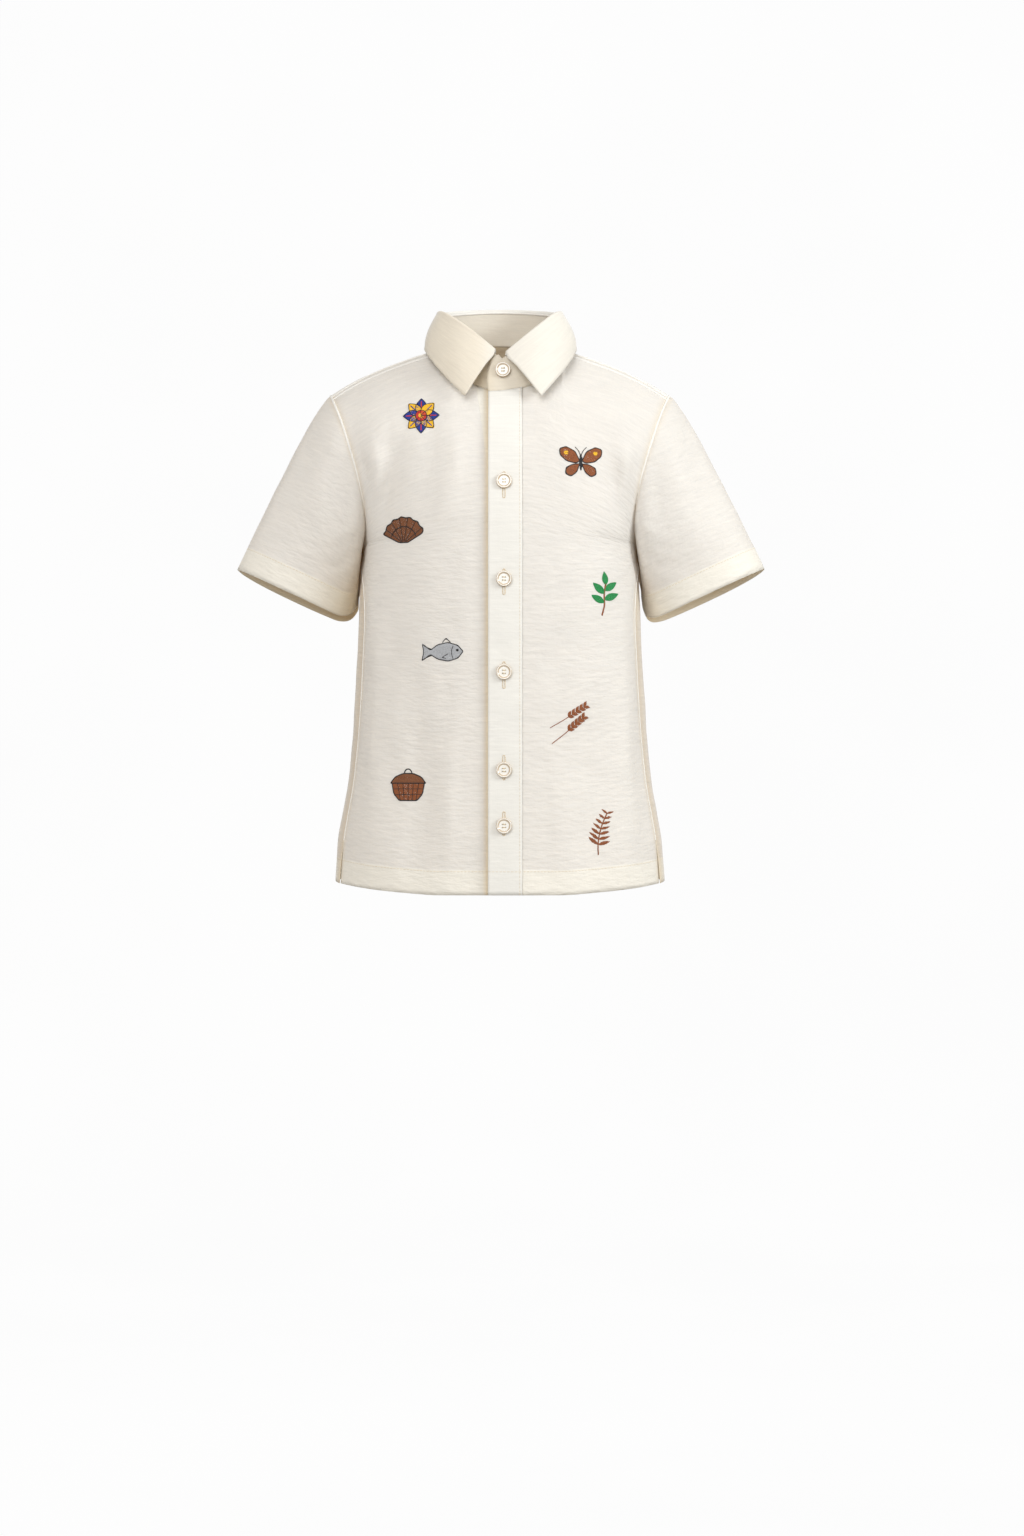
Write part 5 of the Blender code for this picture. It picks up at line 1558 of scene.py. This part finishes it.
@dataclass
class Buttons:
    """Round four-hole buttons, each sewn on where the frame has it."""

    pearl: bpy.types.Material
    thread: bpy.types.Material
    radius: float = 0.00635
    thickness: float = 0.0024
    rim: float = 0.0013              # width of the raised rim
    slope: float = 0.0006            # width of the slope down from it
    dish: float = 0.0008             # depth of the middle below the rim
    round_over: float = 0.0005
    hole_spread: float = 0.00125     # from the middle to each hole, both ways
    hole_radius: float = 0.00050
    thread_width: float = 0.00042
    thread_height: float = 0.00038
    strand_step: float = 0.00028     # between the strands from one hole to the next

    def model(self) -> bpy.types.Object:
        """Model one button lying at the origin, its face up."""
        button = rod(48, self.radius, self.thickness, (0.0, 0.0, self.thickness / 2.0))
        button.name = "button"
        bpy.ops.object.transform_apply()
        select_faces(button, lambda face: face.normal.z > 0.9)
        for width, depth in ((self.rim, 0.0), (self.slope, -self.dish), (self.slope, 0.0)):
            bpy.ops.mesh.inset(thickness=width, depth=depth)
        bpy.ops.object.mode_set(mode="OBJECT")
        soften = button.modifiers.new("edges", "BEVEL")
        soften.width, soften.segments, soften.angle_limit = self.round_over, 3, math.radians(40.0)
        apply_modifiers(button)
        spread = self.hole_spread
        for x, y in ((x, y) for y in (-spread, spread) for x in (-spread, spread)):
            drill = rod(12, self.hole_radius, 4.0 * self.thickness, (x, y, 0.0))
            hole = button.modifiers.new("hole", "BOOLEAN")
            hole.object, hole.operation, hole.solver = drill, "DIFFERENCE", "EXACT"
            apply_modifiers(button)
            bpy.data.objects.remove(drill, do_unlink=True)
        layer = button.data.uv_layers.new(name="face")
        for loop in button.data.loops:
            layer.data[loop.index].uv = button.data.vertices[loop.vertex_index].co.xy
        bpy.ops.object.select_all(action="DESELECT")
        button.select_set(True)
        bpy.context.view_layer.objects.active = button
        bpy.ops.object.shade_smooth_by_angle(angle=math.radians(35.0))
        button.data.materials.append(self.pearl)
        return button

    def sew(self, stand: Cloth, band: Cloth) -> None:
        """Put a button and its thread at each place.

        Args:
            stand: the collar stand, which carries the first button.
            band: the placket, which carries the others.
        """
        pattern = self.model()
        work = StitchWork("button_threads", [self.thread])
        surfaces = {True: Surface(stand, COLLAR_WALL / 2.0), False: Surface(band, SHEET)}
        spread, floor = self.hole_spread, self.thickness - self.dish
        strands = [(y + step, floor) for y in (-spread, spread)
                   for step in (-self.strand_step, 0.0, self.strand_step)]
        for number in range(1, BUTTON_COUNT + 1):
            low, high = (Vector(corner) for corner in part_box(f"button_{number}"))
            middle = (low + high) / 2.0
            foot, out = surfaces[number == 1].at(middle.x, middle.z)
            sideways = unit(np.cross((0.0, 0.0, 1.0), out))
            turn = Matrix((sideways, np.cross(out, sideways), out)).transposed()
            place = Matrix.Translation(foot) @ turn.to_4x4()
            button = bpy.data.objects.new(f"shell_button_{number}", pattern.data.copy())
            button.data.transform(place)
            bpy.context.scene.collection.objects.link(button)
            declare(button, f"button_{number}")
            for strand in strands:
                start, end = (place @ Vector((x, *strand)) for x in (-spread, spread))
                work.lay(start, end, out, self.thread_width, self.thread_height)
        bpy.data.objects.remove(pattern, do_unlink=True)
        declare(work.build())
        LOG.info("%d buttons sewn on", BUTTON_COUNT)


def rod(sides: int, radius: float, length: float, middle: Triple) -> bpy.types.Object:
    """Add an upright cylinder and leave it alone selected."""
    bpy.ops.object.select_all(action="DESELECT")
    bpy.ops.mesh.primitive_cylinder_add(vertices=sides, radius=radius, depth=length,
                                        location=middle)
    return bpy.context.object


def select_faces(piece: bpy.types.Object, wanted: Callable[[bpy.types.MeshPolygon], bool]) -> None:
    """Go into edit mode with just the wanted faces selected."""
    bpy.context.view_layer.objects.active = piece
    bpy.ops.object.mode_set(mode="EDIT")
    bpy.ops.mesh.select_mode(type="FACE")
    bpy.ops.mesh.select_all(action="DESELECT")
    bpy.ops.object.mode_set(mode="OBJECT")
    for face in piece.data.polygons:
        face.select = wanted(face)
    bpy.ops.object.mode_set(mode="EDIT")


def pearl_material(finish: PearlFinish) -> bpy.types.Material:
    """Make the shell: clouded and glossy, with painted shade in tan round its rim and along the
    foot of its dish.
    """
    material, graph, shader = new_material(finish.name)
    face = graph.map("face")
    radius = graph.node("VectorMath", {0: face}, operation="LENGTH").outputs["Value"]
    stray = graph.math("MULTIPLY_ADD", graph.noise(face, 330.0, 2.0), 0.0009, -0.00045)
    ring = graph.math("ADD", radius, stray)
    # painted shade: tan along the foot of the dish and round the rim
    off_foot = graph.math("ABSOLUTE", graph.math("SUBTRACT", ring, 0.0047))
    foot = graph.math("SUBTRACT", 1.0, graph.ramp(off_foot, 0.0002, 0.0008))
    rim = graph.ramp(ring, 0.0056, 0.0063)
    tan = graph.math("MAXIMUM", graph.math("MULTIPLY", foot, 0.75),
                     graph.math("MULTIPLY", rim, 0.85))
    cloud = graph.ramp(graph.threads(face, 420.0, 640.0, 4.0), 0.35, 0.70)
    graph.fill(shader, {
        "Base Color": graph.mix(tan, graph.mix(cloud, finish.pale, finish.cool), finish.edge),
        "Roughness": graph.ramp(cloud, 0.0, 1.0, 0.16, 0.28),
        "Normal": graph.bump(0.25, 0.0002, cloud),
        "Coat Weight": 0.6, "Coat Roughness": 0.08})
    return material


# ---------------------------------------------------------------- embroidery


class Hue(Enum):
    """Thread colours of the embroidery."""

    BLACK = (0.012, 0.011, 0.012)
    RUST = (0.250, 0.075, 0.022)
    BROWN = (0.195, 0.070, 0.026)
    BLUE = (0.010, 0.035, 0.260)
    YELLOW = (0.830, 0.480, 0.020)
    RED = (0.560, 0.030, 0.022)
    GREY = (0.400, 0.410, 0.430)
    GREEN = (0.010, 0.240, 0.060)


HUES = tuple(Hue)
Outline = list[tuple[float, float]]


@dataclass(frozen=True)
class Patch:
    """An area filled with satin stitch; sizes in millimetres about the motif's middle."""

    hue: Hue
    outline: Outline
    slant: float                 # degrees that the stitches run at
    spacing: float = 0.42


@dataclass(frozen=True)
class Stroke:
    """A line of stem stitch, in millimetres about the motif's middle."""

    hue: Hue
    points: Outline
    width: float = 0.65


Parts = list[Patch | Stroke]


@dataclass(frozen=True)
class Motif:
    """One small embroidered picture and its place on the front."""

    name: str
    x: float
    z: float
    parts: Parts


def turned(points: Outline, degrees: float, x: float = 0.0, y: float = 0.0,
           size: float = 1.0) -> Outline:
    """Turn, scale and move an outline."""
    cosine, sine = (size * turn(math.radians(degrees)) for turn in (math.cos, math.sin))
    return [(x + u * cosine - v * sine, y + u * sine + v * cosine) for u, v in points]


def oval(half_width: float, half_height: float, count: int = 28, part: float = 1.0) -> Outline:
    """An ellipse, or the first part of one."""
    turns = np.linspace(0.0, 2.0 * math.pi * part, count)
    return [(half_width * math.cos(turn), half_height * math.sin(turn)) for turn in turns]


def leaf(length: float, width: float, count: int = 12) -> Outline:
    """A pointed leaf, growing up from the origin."""
    rises = np.linspace(0.0, 1.0, count)
    side = [(width / 2.0 * math.sin(math.pi * rise ** 0.85), length * rise) for rise in rises]
    return side + [(-x, y) for x, y in side[::-1]]


def edged(hue: Hue, outline: Outline, slant: float, width: float, thread: Hue = Hue.BLACK) -> Parts:
    """An area with a line of stitches round it."""
    return [Patch(hue, outline, slant), Stroke(thread, outline + outline[:1], width)]


def lines(width: float, *runs: Outline) -> Parts:
    """Black lines of one width."""
    return [Stroke(Hue.BLACK, run, width) for run in runs]


def flower() -> Parts:
    """A round flower in blue and yellow with a red heart."""
    parts = []
    for number in range(8):
        angle = 45.0 * number
        hue, tip = ((Hue.BLUE, Hue.RED), (Hue.YELLOW, Hue.BLUE))[number % 2]
        parts += edged(hue, turned(leaf(12.5, 8.2), angle), angle + 12.0, 0.6)
        parts.append(Stroke(tip, turned([(0.0, 6.0), (0.0, 10.5)], angle), 0.9))
    return [*parts, *edged(Hue.RED, oval(4.0, 4.0), 20.0, 0.6),
            Patch(Hue.YELLOW, oval(1.9, 1.9), 70.0)]


def shell() -> Parts:
    """A fan shell with ribs."""
    rim = []
    for turn in np.linspace(math.radians(18), math.radians(162), 25):
        ripple = 0.8 * math.sin(16.0 * turn)
        rim.append(((14.5 + ripple) * math.cos(turn), (15.5 + ripple) * math.sin(turn) - 7.0))
    fan = [(3.0, -8.5)] + rim + [(-3.0, -8.5)]
    ribs = ([(0.12 * x, -8.0), (0.96 * x, 0.96 * y)] for x, y in rim[2:-1:4])
    body, edge = edged(Hue.BROWN, fan, 4.0, 0.8)
    band = [(0.62 * x, 0.62 * y - 3.0) for x, y in rim]
    return [body, *lines(0.55, *ribs), *lines(0.5, band), edge]


def butterfly() -> Parts:
    """A butterfly with brown wings."""
    upper = [(0.8, 1.0), (4.0, 7.5), (10.0, 10.5), (14.5, 9.0), (14.0, 4.5), (9.5, 0.5),
             (3.0, -0.8)]
    lower = [(0.8, -1.2), (5.5, -1.6), (10.0, -4.0), (10.5, -8.0), (7.0, -10.0), (3.0, -7.0)]
    parts = []
    for side in (1.0, -1.0):
        for wing, slant in ((upper, 35.0), (lower, -40.0)):
            parts += edged(Hue.RUST, [(side * x, y) for x, y in wing], side * slant, 0.75)
        parts.append(Patch(Hue.YELLOW, turned(oval(1.6, 1.3), 0.0, side * 10.0, 6.3), 0.0))
        parts += lines(0.45, [(0.0, 4.0), (side * 1.5, 8.0), (side * 4.0, 10.5)])
    return parts + [Patch(Hue.BLACK, oval(1.0, 5.6), 90.0)]


def fern() -> Parts:
    """A curled fern frond in rust."""
    stem = [(9.0 * t * t - 3.0 * t, 28.0 * t - 14.0) for t in np.linspace(0.0, 1.0, 9)]
    parts = [Stroke(Hue.RUST, stem, 0.9)]
    for number, (x, y) in enumerate(stem[2:]):
        for angle in (62.0, -66.0):
            blade = turned(leaf(8.5, 2.3), angle - 10.0, x, y, 1.0 - 0.08 * number)
            parts.append(Patch(Hue.RUST, blade, angle + 70.0))
    return parts


def basket() -> Parts:
    """A round woven basket with a lid and a handle."""
    bowl = [(-11.0, 0.0), (-9.8, -7.0), (-6.0, -11.5), (6.0, -11.5), (9.8, -7.0), (11.0, 0.0)]
    lid = [(-12.0, 0.2), (-9.0, 4.4), (-3.5, 6.8), (3.5, 6.8), (9.0, 4.4), (12.0, 0.2)]
    hoops = ([(0.02 * y * y - 10.3, y), (10.3 - 0.02 * y * y, y)] for y in (-3.6, -7.4))
    staves = ([(x, 0.0), (0.74 * x, -11.3)] for x in (-7.2, -3.6, 0.0, 3.6, 7.2))
    top, rim = edged(Hue.BROWN, lid, 88.0, 0.75)
    handle = turned(oval(2.6, 3.2, 14, 0.5), 0.0, 0.0, 6.8)
    return [Patch(Hue.RUST, bowl, 2.0), top, *lines(0.45, *hoops, *staves), *lines(0.8, handle),
            *lines(0.75, bowl), rim]


def grain() -> Parts:
    """Two ears of grain lying side by side."""
    parts = []
    for shift, angle in ((4.5, -58.0), (-4.5, -50.0)):
        stem = [(0.0, -15.0), (0.4, -4.0), (0.0, 13.0)]
        parts.append(Stroke(Hue.RUST, turned(stem, angle, 0.0, shift), 0.55))
        for seed in range(10):
            lean = (34.0, -34.0)[seed % 2]
            husk = turned(leaf(4.4, 1.9), lean, 0.0, 3.1 * (seed // 2) - 0.5)
            parts.append(Patch(Hue.RUST, turned(husk, angle, 0.0, shift), angle + lean + 75.0))
    return parts


def fish() -> Parts:
    """A plump grey fish."""
    body = [(13.0, 0.5), (9.5, 4.6), (3.0, 6.6), (-4.0, 5.2), (-9.0, 1.4), (-14.5, 5.8),
            (-13.6, 0.2), (-14.8, -5.6), (-9.0, -1.4), (-4.0, -4.6), (3.0, -6.0), (9.5, -4.0)]
    gill = [(6.4, 4.6), (5.0, 0.2), (6.2, -4.4)]
    back_fin = [(-1.0, 6.4), (1.4, 9.6), (4.6, 6.6)]
    side_fin = [(3.0, -1.0), (-1.2, -3.4), (1.6, -4.2)]
    rays = ([(-8.0, y), (-13.2, 2.1 * y)] for y in (2.0, -2.0))
    return [*edged(Hue.GREY, body, 78.0, 0.7), *lines(0.5, gill), *lines(0.6, back_fin),
            *lines(0.5, side_fin), *lines(0.4, *rays),
            Patch(Hue.BLACK, turned(oval(0.9, 0.9), 0.0, 9.2, 1.4), 0.0)]


def sprig() -> Parts:
    """A sprig of green leaves on a brown stem."""
    parts = [Stroke(Hue.RUST, [(-1.5, -13.0), (0.3, -6.0), (0.0, 2.0), (1.2, 9.0)], 1.4)]
    for x, y, angle, size in ((0.0, -4.0, 62.0, 0.95), (0.2, -2.0, -66.0, 1.0),
                              (0.2, 2.0, 48.0, 1.0), (0.6, 4.0, -52.0, 0.95),
                              (1.2, 8.0, 8.0, 0.85)):
        blade = turned(leaf(10.5, 4.6), angle, x, y, size)
        parts += edged(Hue.GREEN, blade, angle + 55.0, 0.45, Hue.GREEN)
    return parts


MOTIFS = tuple(Motif(draw.__name__, x, z, draw()) for draw, x, z in (
    (flower, -0.0640, -0.0620), (shell, -0.0780, -0.1560), (fish, -0.0450, -0.2560),
    (basket, -0.0740, -0.3620), (butterfly, 0.0660, -0.1010), (sprig, 0.0850, -0.2100),
    (grain, 0.0560, -0.3130), (fern, 0.0800, -0.4030)))


class Embroidery:
    """Sews the motifs onto the fronts."""

    unit = 0.0012              # metres to one unit of a motif's drawing
    thread_height = 0.00022
    patch_lift = 0.00001       # of each part over the one before
    line_lift = 0.00012        # of a line over the patches
    fullness = 1.45            # a thread's width to the rows' spacing
    longest = 5.0              # the longest satin stitch, in units of the drawing
    overlap = 0.25             # of satin stitches that meet
    stagger = 0.9              # how far the meeting places move from row to row
    line_step = 1.1            # from stitch to stitch along a line

    def __init__(self, shirt: Shirt, twist: bpy.types.NodeTree) -> None:
        """Find the fronts' skins and make the threads."""
        skin = CLOTH / 2.0
        self.surfaces = {-1: Surface(shirt.right, skin), 1: Surface(shirt.left, skin)}
        self.threads = [thread_material(f"barong_thread_{hue.name.lower()}", hue.value, twist)
                        for hue in HUES]

    def sew(self) -> None:
        """Sew every motif."""
        for motif in MOTIFS:
            work = StitchWork(f"embroidery_{motif.name}", self.threads)
            for layer, part in enumerate(motif.parts):
                lift = self.patch_lift * layer
                if isinstance(part, Patch):
                    self.fill(work, motif, part, lift)
                else:
                    self.line(work, motif, part, lift + self.line_lift)
            declare(work.build())

    def lay(self, work: StitchWork, motif: Motif, ends: Array, width: float, hue: Hue,
            lift: float) -> None:
        """Lay one stitch between two points of a motif."""
        surface = self.surfaces[1 if motif.x > 0 else -1]
        (first, out), (last, back) = (
            surface.at(motif.x + u * self.unit, motif.z + v * self.unit) for u, v in ends)
        work.lay(first + out * lift, last + back * lift, out, width * self.unit,
                 self.thread_height, HUES.index(hue))

    def fill(self, work: StitchWork, motif: Motif, patch: Patch, lift: float) -> None:
        """Fill an area with parallel rows of satin stitch, each broken where it is long."""
        flat = np.array(turned(patch.outline, -patch.slant))
        low, high = flat, np.roll(flat, -1, axis=0)
        rows = np.arange(flat[:, 1].min() + patch.spacing / 2.0, flat[:, 1].max(), patch.spacing)
        for row, height in enumerate(rows):
            crosses = (low[:, 1] > height) != (high[:, 1] > height)
            share = (height - low[crosses, 1]) / (high[crosses, 1] - low[crosses, 1])
            cuts = np.sort(low[crosses, 0] + share * (high[crosses, 0] - low[crosses, 0]))
            for start, end in zip(cuts[::2], cuts[1::2]):
                count = max(1, math.ceil((end - start) / self.longest))
                bounds = np.linspace(start, end, count + 1)
                bounds[1:-1] += self.stagger * math.sin(2.4 * row)
                for left, right in zip(bounds[:-1] - self.overlap, bounds[1:] + self.overlap):
                    ends = turned([(left, height), (right, height)], patch.slant)
                    self.lay(work, motif, ends, patch.spacing * self.fullness, patch.hue, lift)

    def line(self, work: StitchWork, motif: Motif, stroke: Stroke, lift: float) -> None:
        """Sew along a line, each stitch overlapping the last."""
        points = np.array(stroke.points)
        run = distances(points)
        count = max(2, math.ceil(run[-1] / self.line_step))
        places = at_distances(np.linspace(0.0, run[-1], count + 1), run, points)
        for index in range(count):
            ends = places[[index, min(index + 2, count)]]
            self.lay(work, motif, ends, stroke.width, stroke.hue, lift)


# ---------------------------------------------------------------- studio


class Light(NamedTuple):
    """A soft square light: its place, the point it faces, its side, its watts and colour."""

    name: str
    place: Triple
    aim: Triple
    size: float
    power: float
    colour: Triple = (1.0, 1.0, 1.0)


LIGHTS = (
    Light("key", (2.20, -1.00, 0.70), (0.0, 0.0, -0.20), 0.8, 38.5, (0.955, 0.985, 1.0)),
    Light("front", (-0.85, -2.60, 1.25), (0.0, 0.0, -0.25), 2.2, 57.0),
    Light("back", (0.60, 1.60, 1.40), (0.0, 0.1, -0.20), 1.4, 9.0))


@dataclass(frozen=True)
class Studio:
    """Where the camera stands and what is round the shirt."""

    camera: Triple = (0.01008, -2.4, -0.34944)
    frame_height: float = 1.29024      # metres that the view takes in at the shirt
    ambient: Triple = (0.58, 0.56, 0.53)   # light from all round
    room: Triple = (0.97, 0.97, 0.97)      # the room as the camera sees it
    half_width: float = 4.0            # of the backdrop
    front: float = -3.0                # its near edge
    floor: float = -0.95
    bend: float = 1.2                  # where the floor begins to curve up
    bend_radius: float = 0.6
    top: float = 2.2

    def build(self) -> None:
        """Set up the camera, the lights, the backdrop and the floor."""
        self.add_camera()
        bpy.context.scene.view_settings.view_transform = "Standard"
        self.add_world()
        for light in LIGHTS:
            self.add_light(light)
        self.add_backdrop()

    def add_camera(self) -> None:
        """A level camera, sharp everywhere."""
        lens = bpy.data.cameras.new("camera")
        lens.sensor_fit = "VERTICAL"
        lens.angle_y = 2.0 * math.atan(self.frame_height / 2.0 / -self.camera[1])
        eye = bpy.data.objects.new("camera", lens)
        eye.location = self.camera
        eye.rotation_euler = (math.pi / 2.0, 0.0, 0.0)
        bpy.context.scene.collection.objects.link(eye)
        bpy.context.scene.camera = eye

    def add_world(self) -> None:
        """A white surrounding whose light, thrown back by pale walls, is dim and warm."""
        world = bpy.data.worlds.new("white room")
        world.use_nodes = True
        graph = Graph(world.node_tree)
        seen = graph.node("LightPath").outputs["Is Camera Ray"]
        graph.fill(world.node_tree.nodes["Background"],
                   {"Color": graph.mix(seen, self.ambient, self.room)})
        bpy.context.scene.world = world

    def add_light(self, light: Light) -> None:
        """Hang up a light."""
        lamp = bpy.data.lights.new(light.name, "AREA")
        lamp.color, lamp.size, lamp.energy = light.colour, light.size, light.power
        stand = bpy.data.objects.new(light.name, lamp)
        stand.location = light.place
        gaze = Vector(light.aim) - Vector(light.place)
        stand.rotation_euler = gaze.to_track_quat("-Z", "Y").to_euler()
        bpy.context.scene.collection.objects.link(stand)

    def add_backdrop(self) -> None:
        """A pale floor that curves up into the wall behind."""
        radius, sides = self.bend_radius, (-self.half_width, self.half_width)
        centre = self.floor + radius
        profile = [(self.front, self.floor), (self.bend, self.floor)]
        profile += [(self.bend + radius * math.sin(turn), centre - radius * math.cos(turn))
                    for turn in np.linspace(0.1, math.pi / 2.0, 10)]
        profile += [(self.bend + radius, self.top)]
        points = np.array([(x, y, z) for y, z in profile for x in sides])
        faces = grid_faces(np.arange(len(points)).reshape(-1, 2)).tolist()
        add_mesh("backdrop", points, faces, [self.backdrop_material()], {})

    def backdrop_material(self) -> bpy.types.Material:
        """An even white to look at, which throws back the same dim light as the room."""
        material, graph, shader = new_material("studio_white")
        place = graph.node("TexCoord").outputs["Object"]
        tone = graph.ramp(graph.noise(place, 2.0), 0.3, 0.7, 0.955, 0.965)
        seen = graph.node("LightPath").outputs["Is Camera Ray"]
        white = graph.node("CombineXYZ", {0: tone, 1: tone, 2: tone}).outputs[0]
        graph.fill(shader, {
            "Emission Color": graph.mix(seen, self.ambient, white), "Emission Strength": 1.0,
            "Base Color": (0.02, 0.02, 0.02, 1.0), "Roughness": 1.0, "Specular IOR Level": 0.0})
        return material


# ---------------------------------------------------------------- dressing


class Cut(NamedTuple):
    """A cloth piece's size as it was cut, with its turnings."""

    width: float
    length: float
    area: float


def painted_shade(distance: Array, shade: tuple[float, float]) -> Array:
    """How much painted shade the cloth has at a distance from a line."""
    depth, reach = shade
    return depth * bell(distance, reach)


class Tailor:
    """Turns the shirt's form into the pieces that show."""

    outside = (CLOTH - SHEET) / 2.0      # from the middle of a solid's wall to its sheet
    folded = (COLLAR_WALL - 2.0 * SHEET) / 2.0
    seam_shade = (0.30, 0.0038)          # depth of the painted shade at a seam, and how far it reaches
    # painted shade beside the back's side seams, a painted shadow beside the placket, and painted
    # shade inside each sleeve
    back_shade = (0.50, 0.0160)
    placket_shade = (0.75, 0.0026)
    sleeve_shades = {"sleeve_right_cloth": (0.90, 0.0450), "sleeve_left_cloth": (0.50, 0.0300)}
    collar_shade = (0.14, 0.24, 0.0200, 0.0300)  # painted shade on the collar's front: all over, more on its right, and both reaches

    def __init__(self, shirt: Shirt) -> None:
        """Keep the form and make the shared finishes."""
        self.shirt = shirt
        weave = weave_group()
        inside = cloth_material(SHADED_INSIDE, weave)
        self.sheer = (cloth_material(SHEER, weave), inside)
        self.yoke = (cloth_material(YOKE_CLOTH, weave), inside)
        self.collar = (cloth_material(COLLAR_CLOTH, weave),) * 2
        self.seam = cloth_material(SEAM_CLOTH, weave)

    def dress(self) -> Cloth:
        """Make every cloth piece, and give back the placket."""
        shirt = self.shirt
        for cloth, side in ((shirt.right, -1), (shirt.left, 1), (shirt.back, 0)):
            self.body(cloth, side)
        self.make(shirt.yoke, self.yoke, self.outside)
        for cloth in (shirt.sleeve_right, shirt.sleeve_left):
            self.sleeve(cloth)
        both, right, right_reach, front_reach = self.collar_shade
        # The stand's quarter of tan all over is partly its creamier folded cloth and partly painted
        # shade; both pieces get painted shade on the front, most on the wearer's right.
        for cloth, base in ((shirt.stand, 0.25), (shirt.fall, 0.0)):
            x, y = cloth.grid[..., 0], cloth.grid[..., 1]
            tone = base + (both + right * smooth(-x / right_reach)) * smooth(-y / front_reach)
            self.make(cloth, self.collar, self.folded, tone,
                      thickness=2.0 * SHEET)
        last = FINE * (LAP_COLUMNS - 1)
        band = Cloth("placket_cloth", (shirt.left.grid + shirt.left.normals * LAYER)[:, :last + 1])
        self.make(band, self.collar, 0.0, thickness=2.0 * SHEET)
        return band

    def make(self, cloth: Cloth, finishes: tuple[bpy.types.Material, ...],
             offset: float, tone: Array | float = 0.0, edges: Array | None = None,
             thickness: float = SHEET) -> None:
        """Make one cloth piece, and state what it rides on and the solid that it stands for.

        Args:
            cloth: the piece's form.
            finishes: its finish outside and inside.
            offset: how far out of the form its middle lies.
            tone: how much painted shade it has, 0 to 1.
            edges: metres from each point to its hem and to its turnings, if it shows any.
            thickness: its thickness.
        """
        shape = cloth.grid.shape[:2]
        edges = np.ones(shape + (2,)) if edges is None else edges
        piece = sheet_object(cloth, finishes, edges, tone + np.zeros(shape), offset, thickness)
        declare(piece, cloth.name.removesuffix("_cloth"))

    def body(self, cloth: Cloth, side: int) -> None:
        """Make a front, or the back where side is 0."""
        up, across = run_lengths(cloth.grid, 0), run_lengths(cloth.grid, 1)
        back_across = across[:, -1:] - across
        to_seam = {1: back_across, -1: across, 0: np.minimum(across, back_across)}[side]
        inside = np.minimum(to_seam, up[-1:] - up) - TURNING
        # painted shade beside the side seams, wider on the back, and on the right front a painted
        # shadow beside the placket's edge
        tone = painted_shade(to_seam, self.seam_shade if side else self.back_shade)
        if side < 0:
            x, z = cloth.grid[..., 0], cloth.grid[..., 2]
            inside = np.minimum(inside, np.interp(z, *FACING_EDGE) - x)
            tone = np.maximum(tone, painted_shade(PLACKET_RIGHT - x, self.placket_shade))
        edges = np.stack([up, inside], axis=-1)
        self.make(cloth, self.sheer, self.outside, tone, edges)

    def sleeve(self, cloth: Cloth) -> None:
        """Make a sleeve."""
        up, round_it = run_lengths(cloth.grid, 0), run_lengths(cloth.grid, 1, True)
        to_seam = np.minimum(round_it, round_it[:, -1:] - round_it)[:, :-1]
        # painted shade on the sleeve's inner side by its underarm seam, deeper on the right sleeve,
        # and along its armhole seam
        tone = np.maximum(painted_shade(to_seam, self.sleeve_shades[cloth.name]),
                          painted_shade(up[-1:] - up, self.seam_shade))
        edges = np.stack([up, to_seam - TURNING], axis=-1)
        self.make(cloth, self.sheer, self.outside, tone, edges)


def main() -> None:
    """Load the frame, dress it and light it."""
    logging.basicConfig(level=logging.INFO, format="%(name)s: %(message)s")
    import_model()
    shirt = Shirt()
    tailor = Tailor(shirt)
    band = tailor.dress()
    twist = thread_group()
    thread = thread_material("barong_sewing_thread", (0.72, 0.60, 0.42), twist)
    Sewing(shirt, tailor.seam, thread).sew(band)
    Buttons(pearl_material(PearlFinish()), thread).sew(shirt.stand, band)
    Embroidery(shirt, twist).sew()
    Studio().build()


if __name__ == "__main__":
    main()
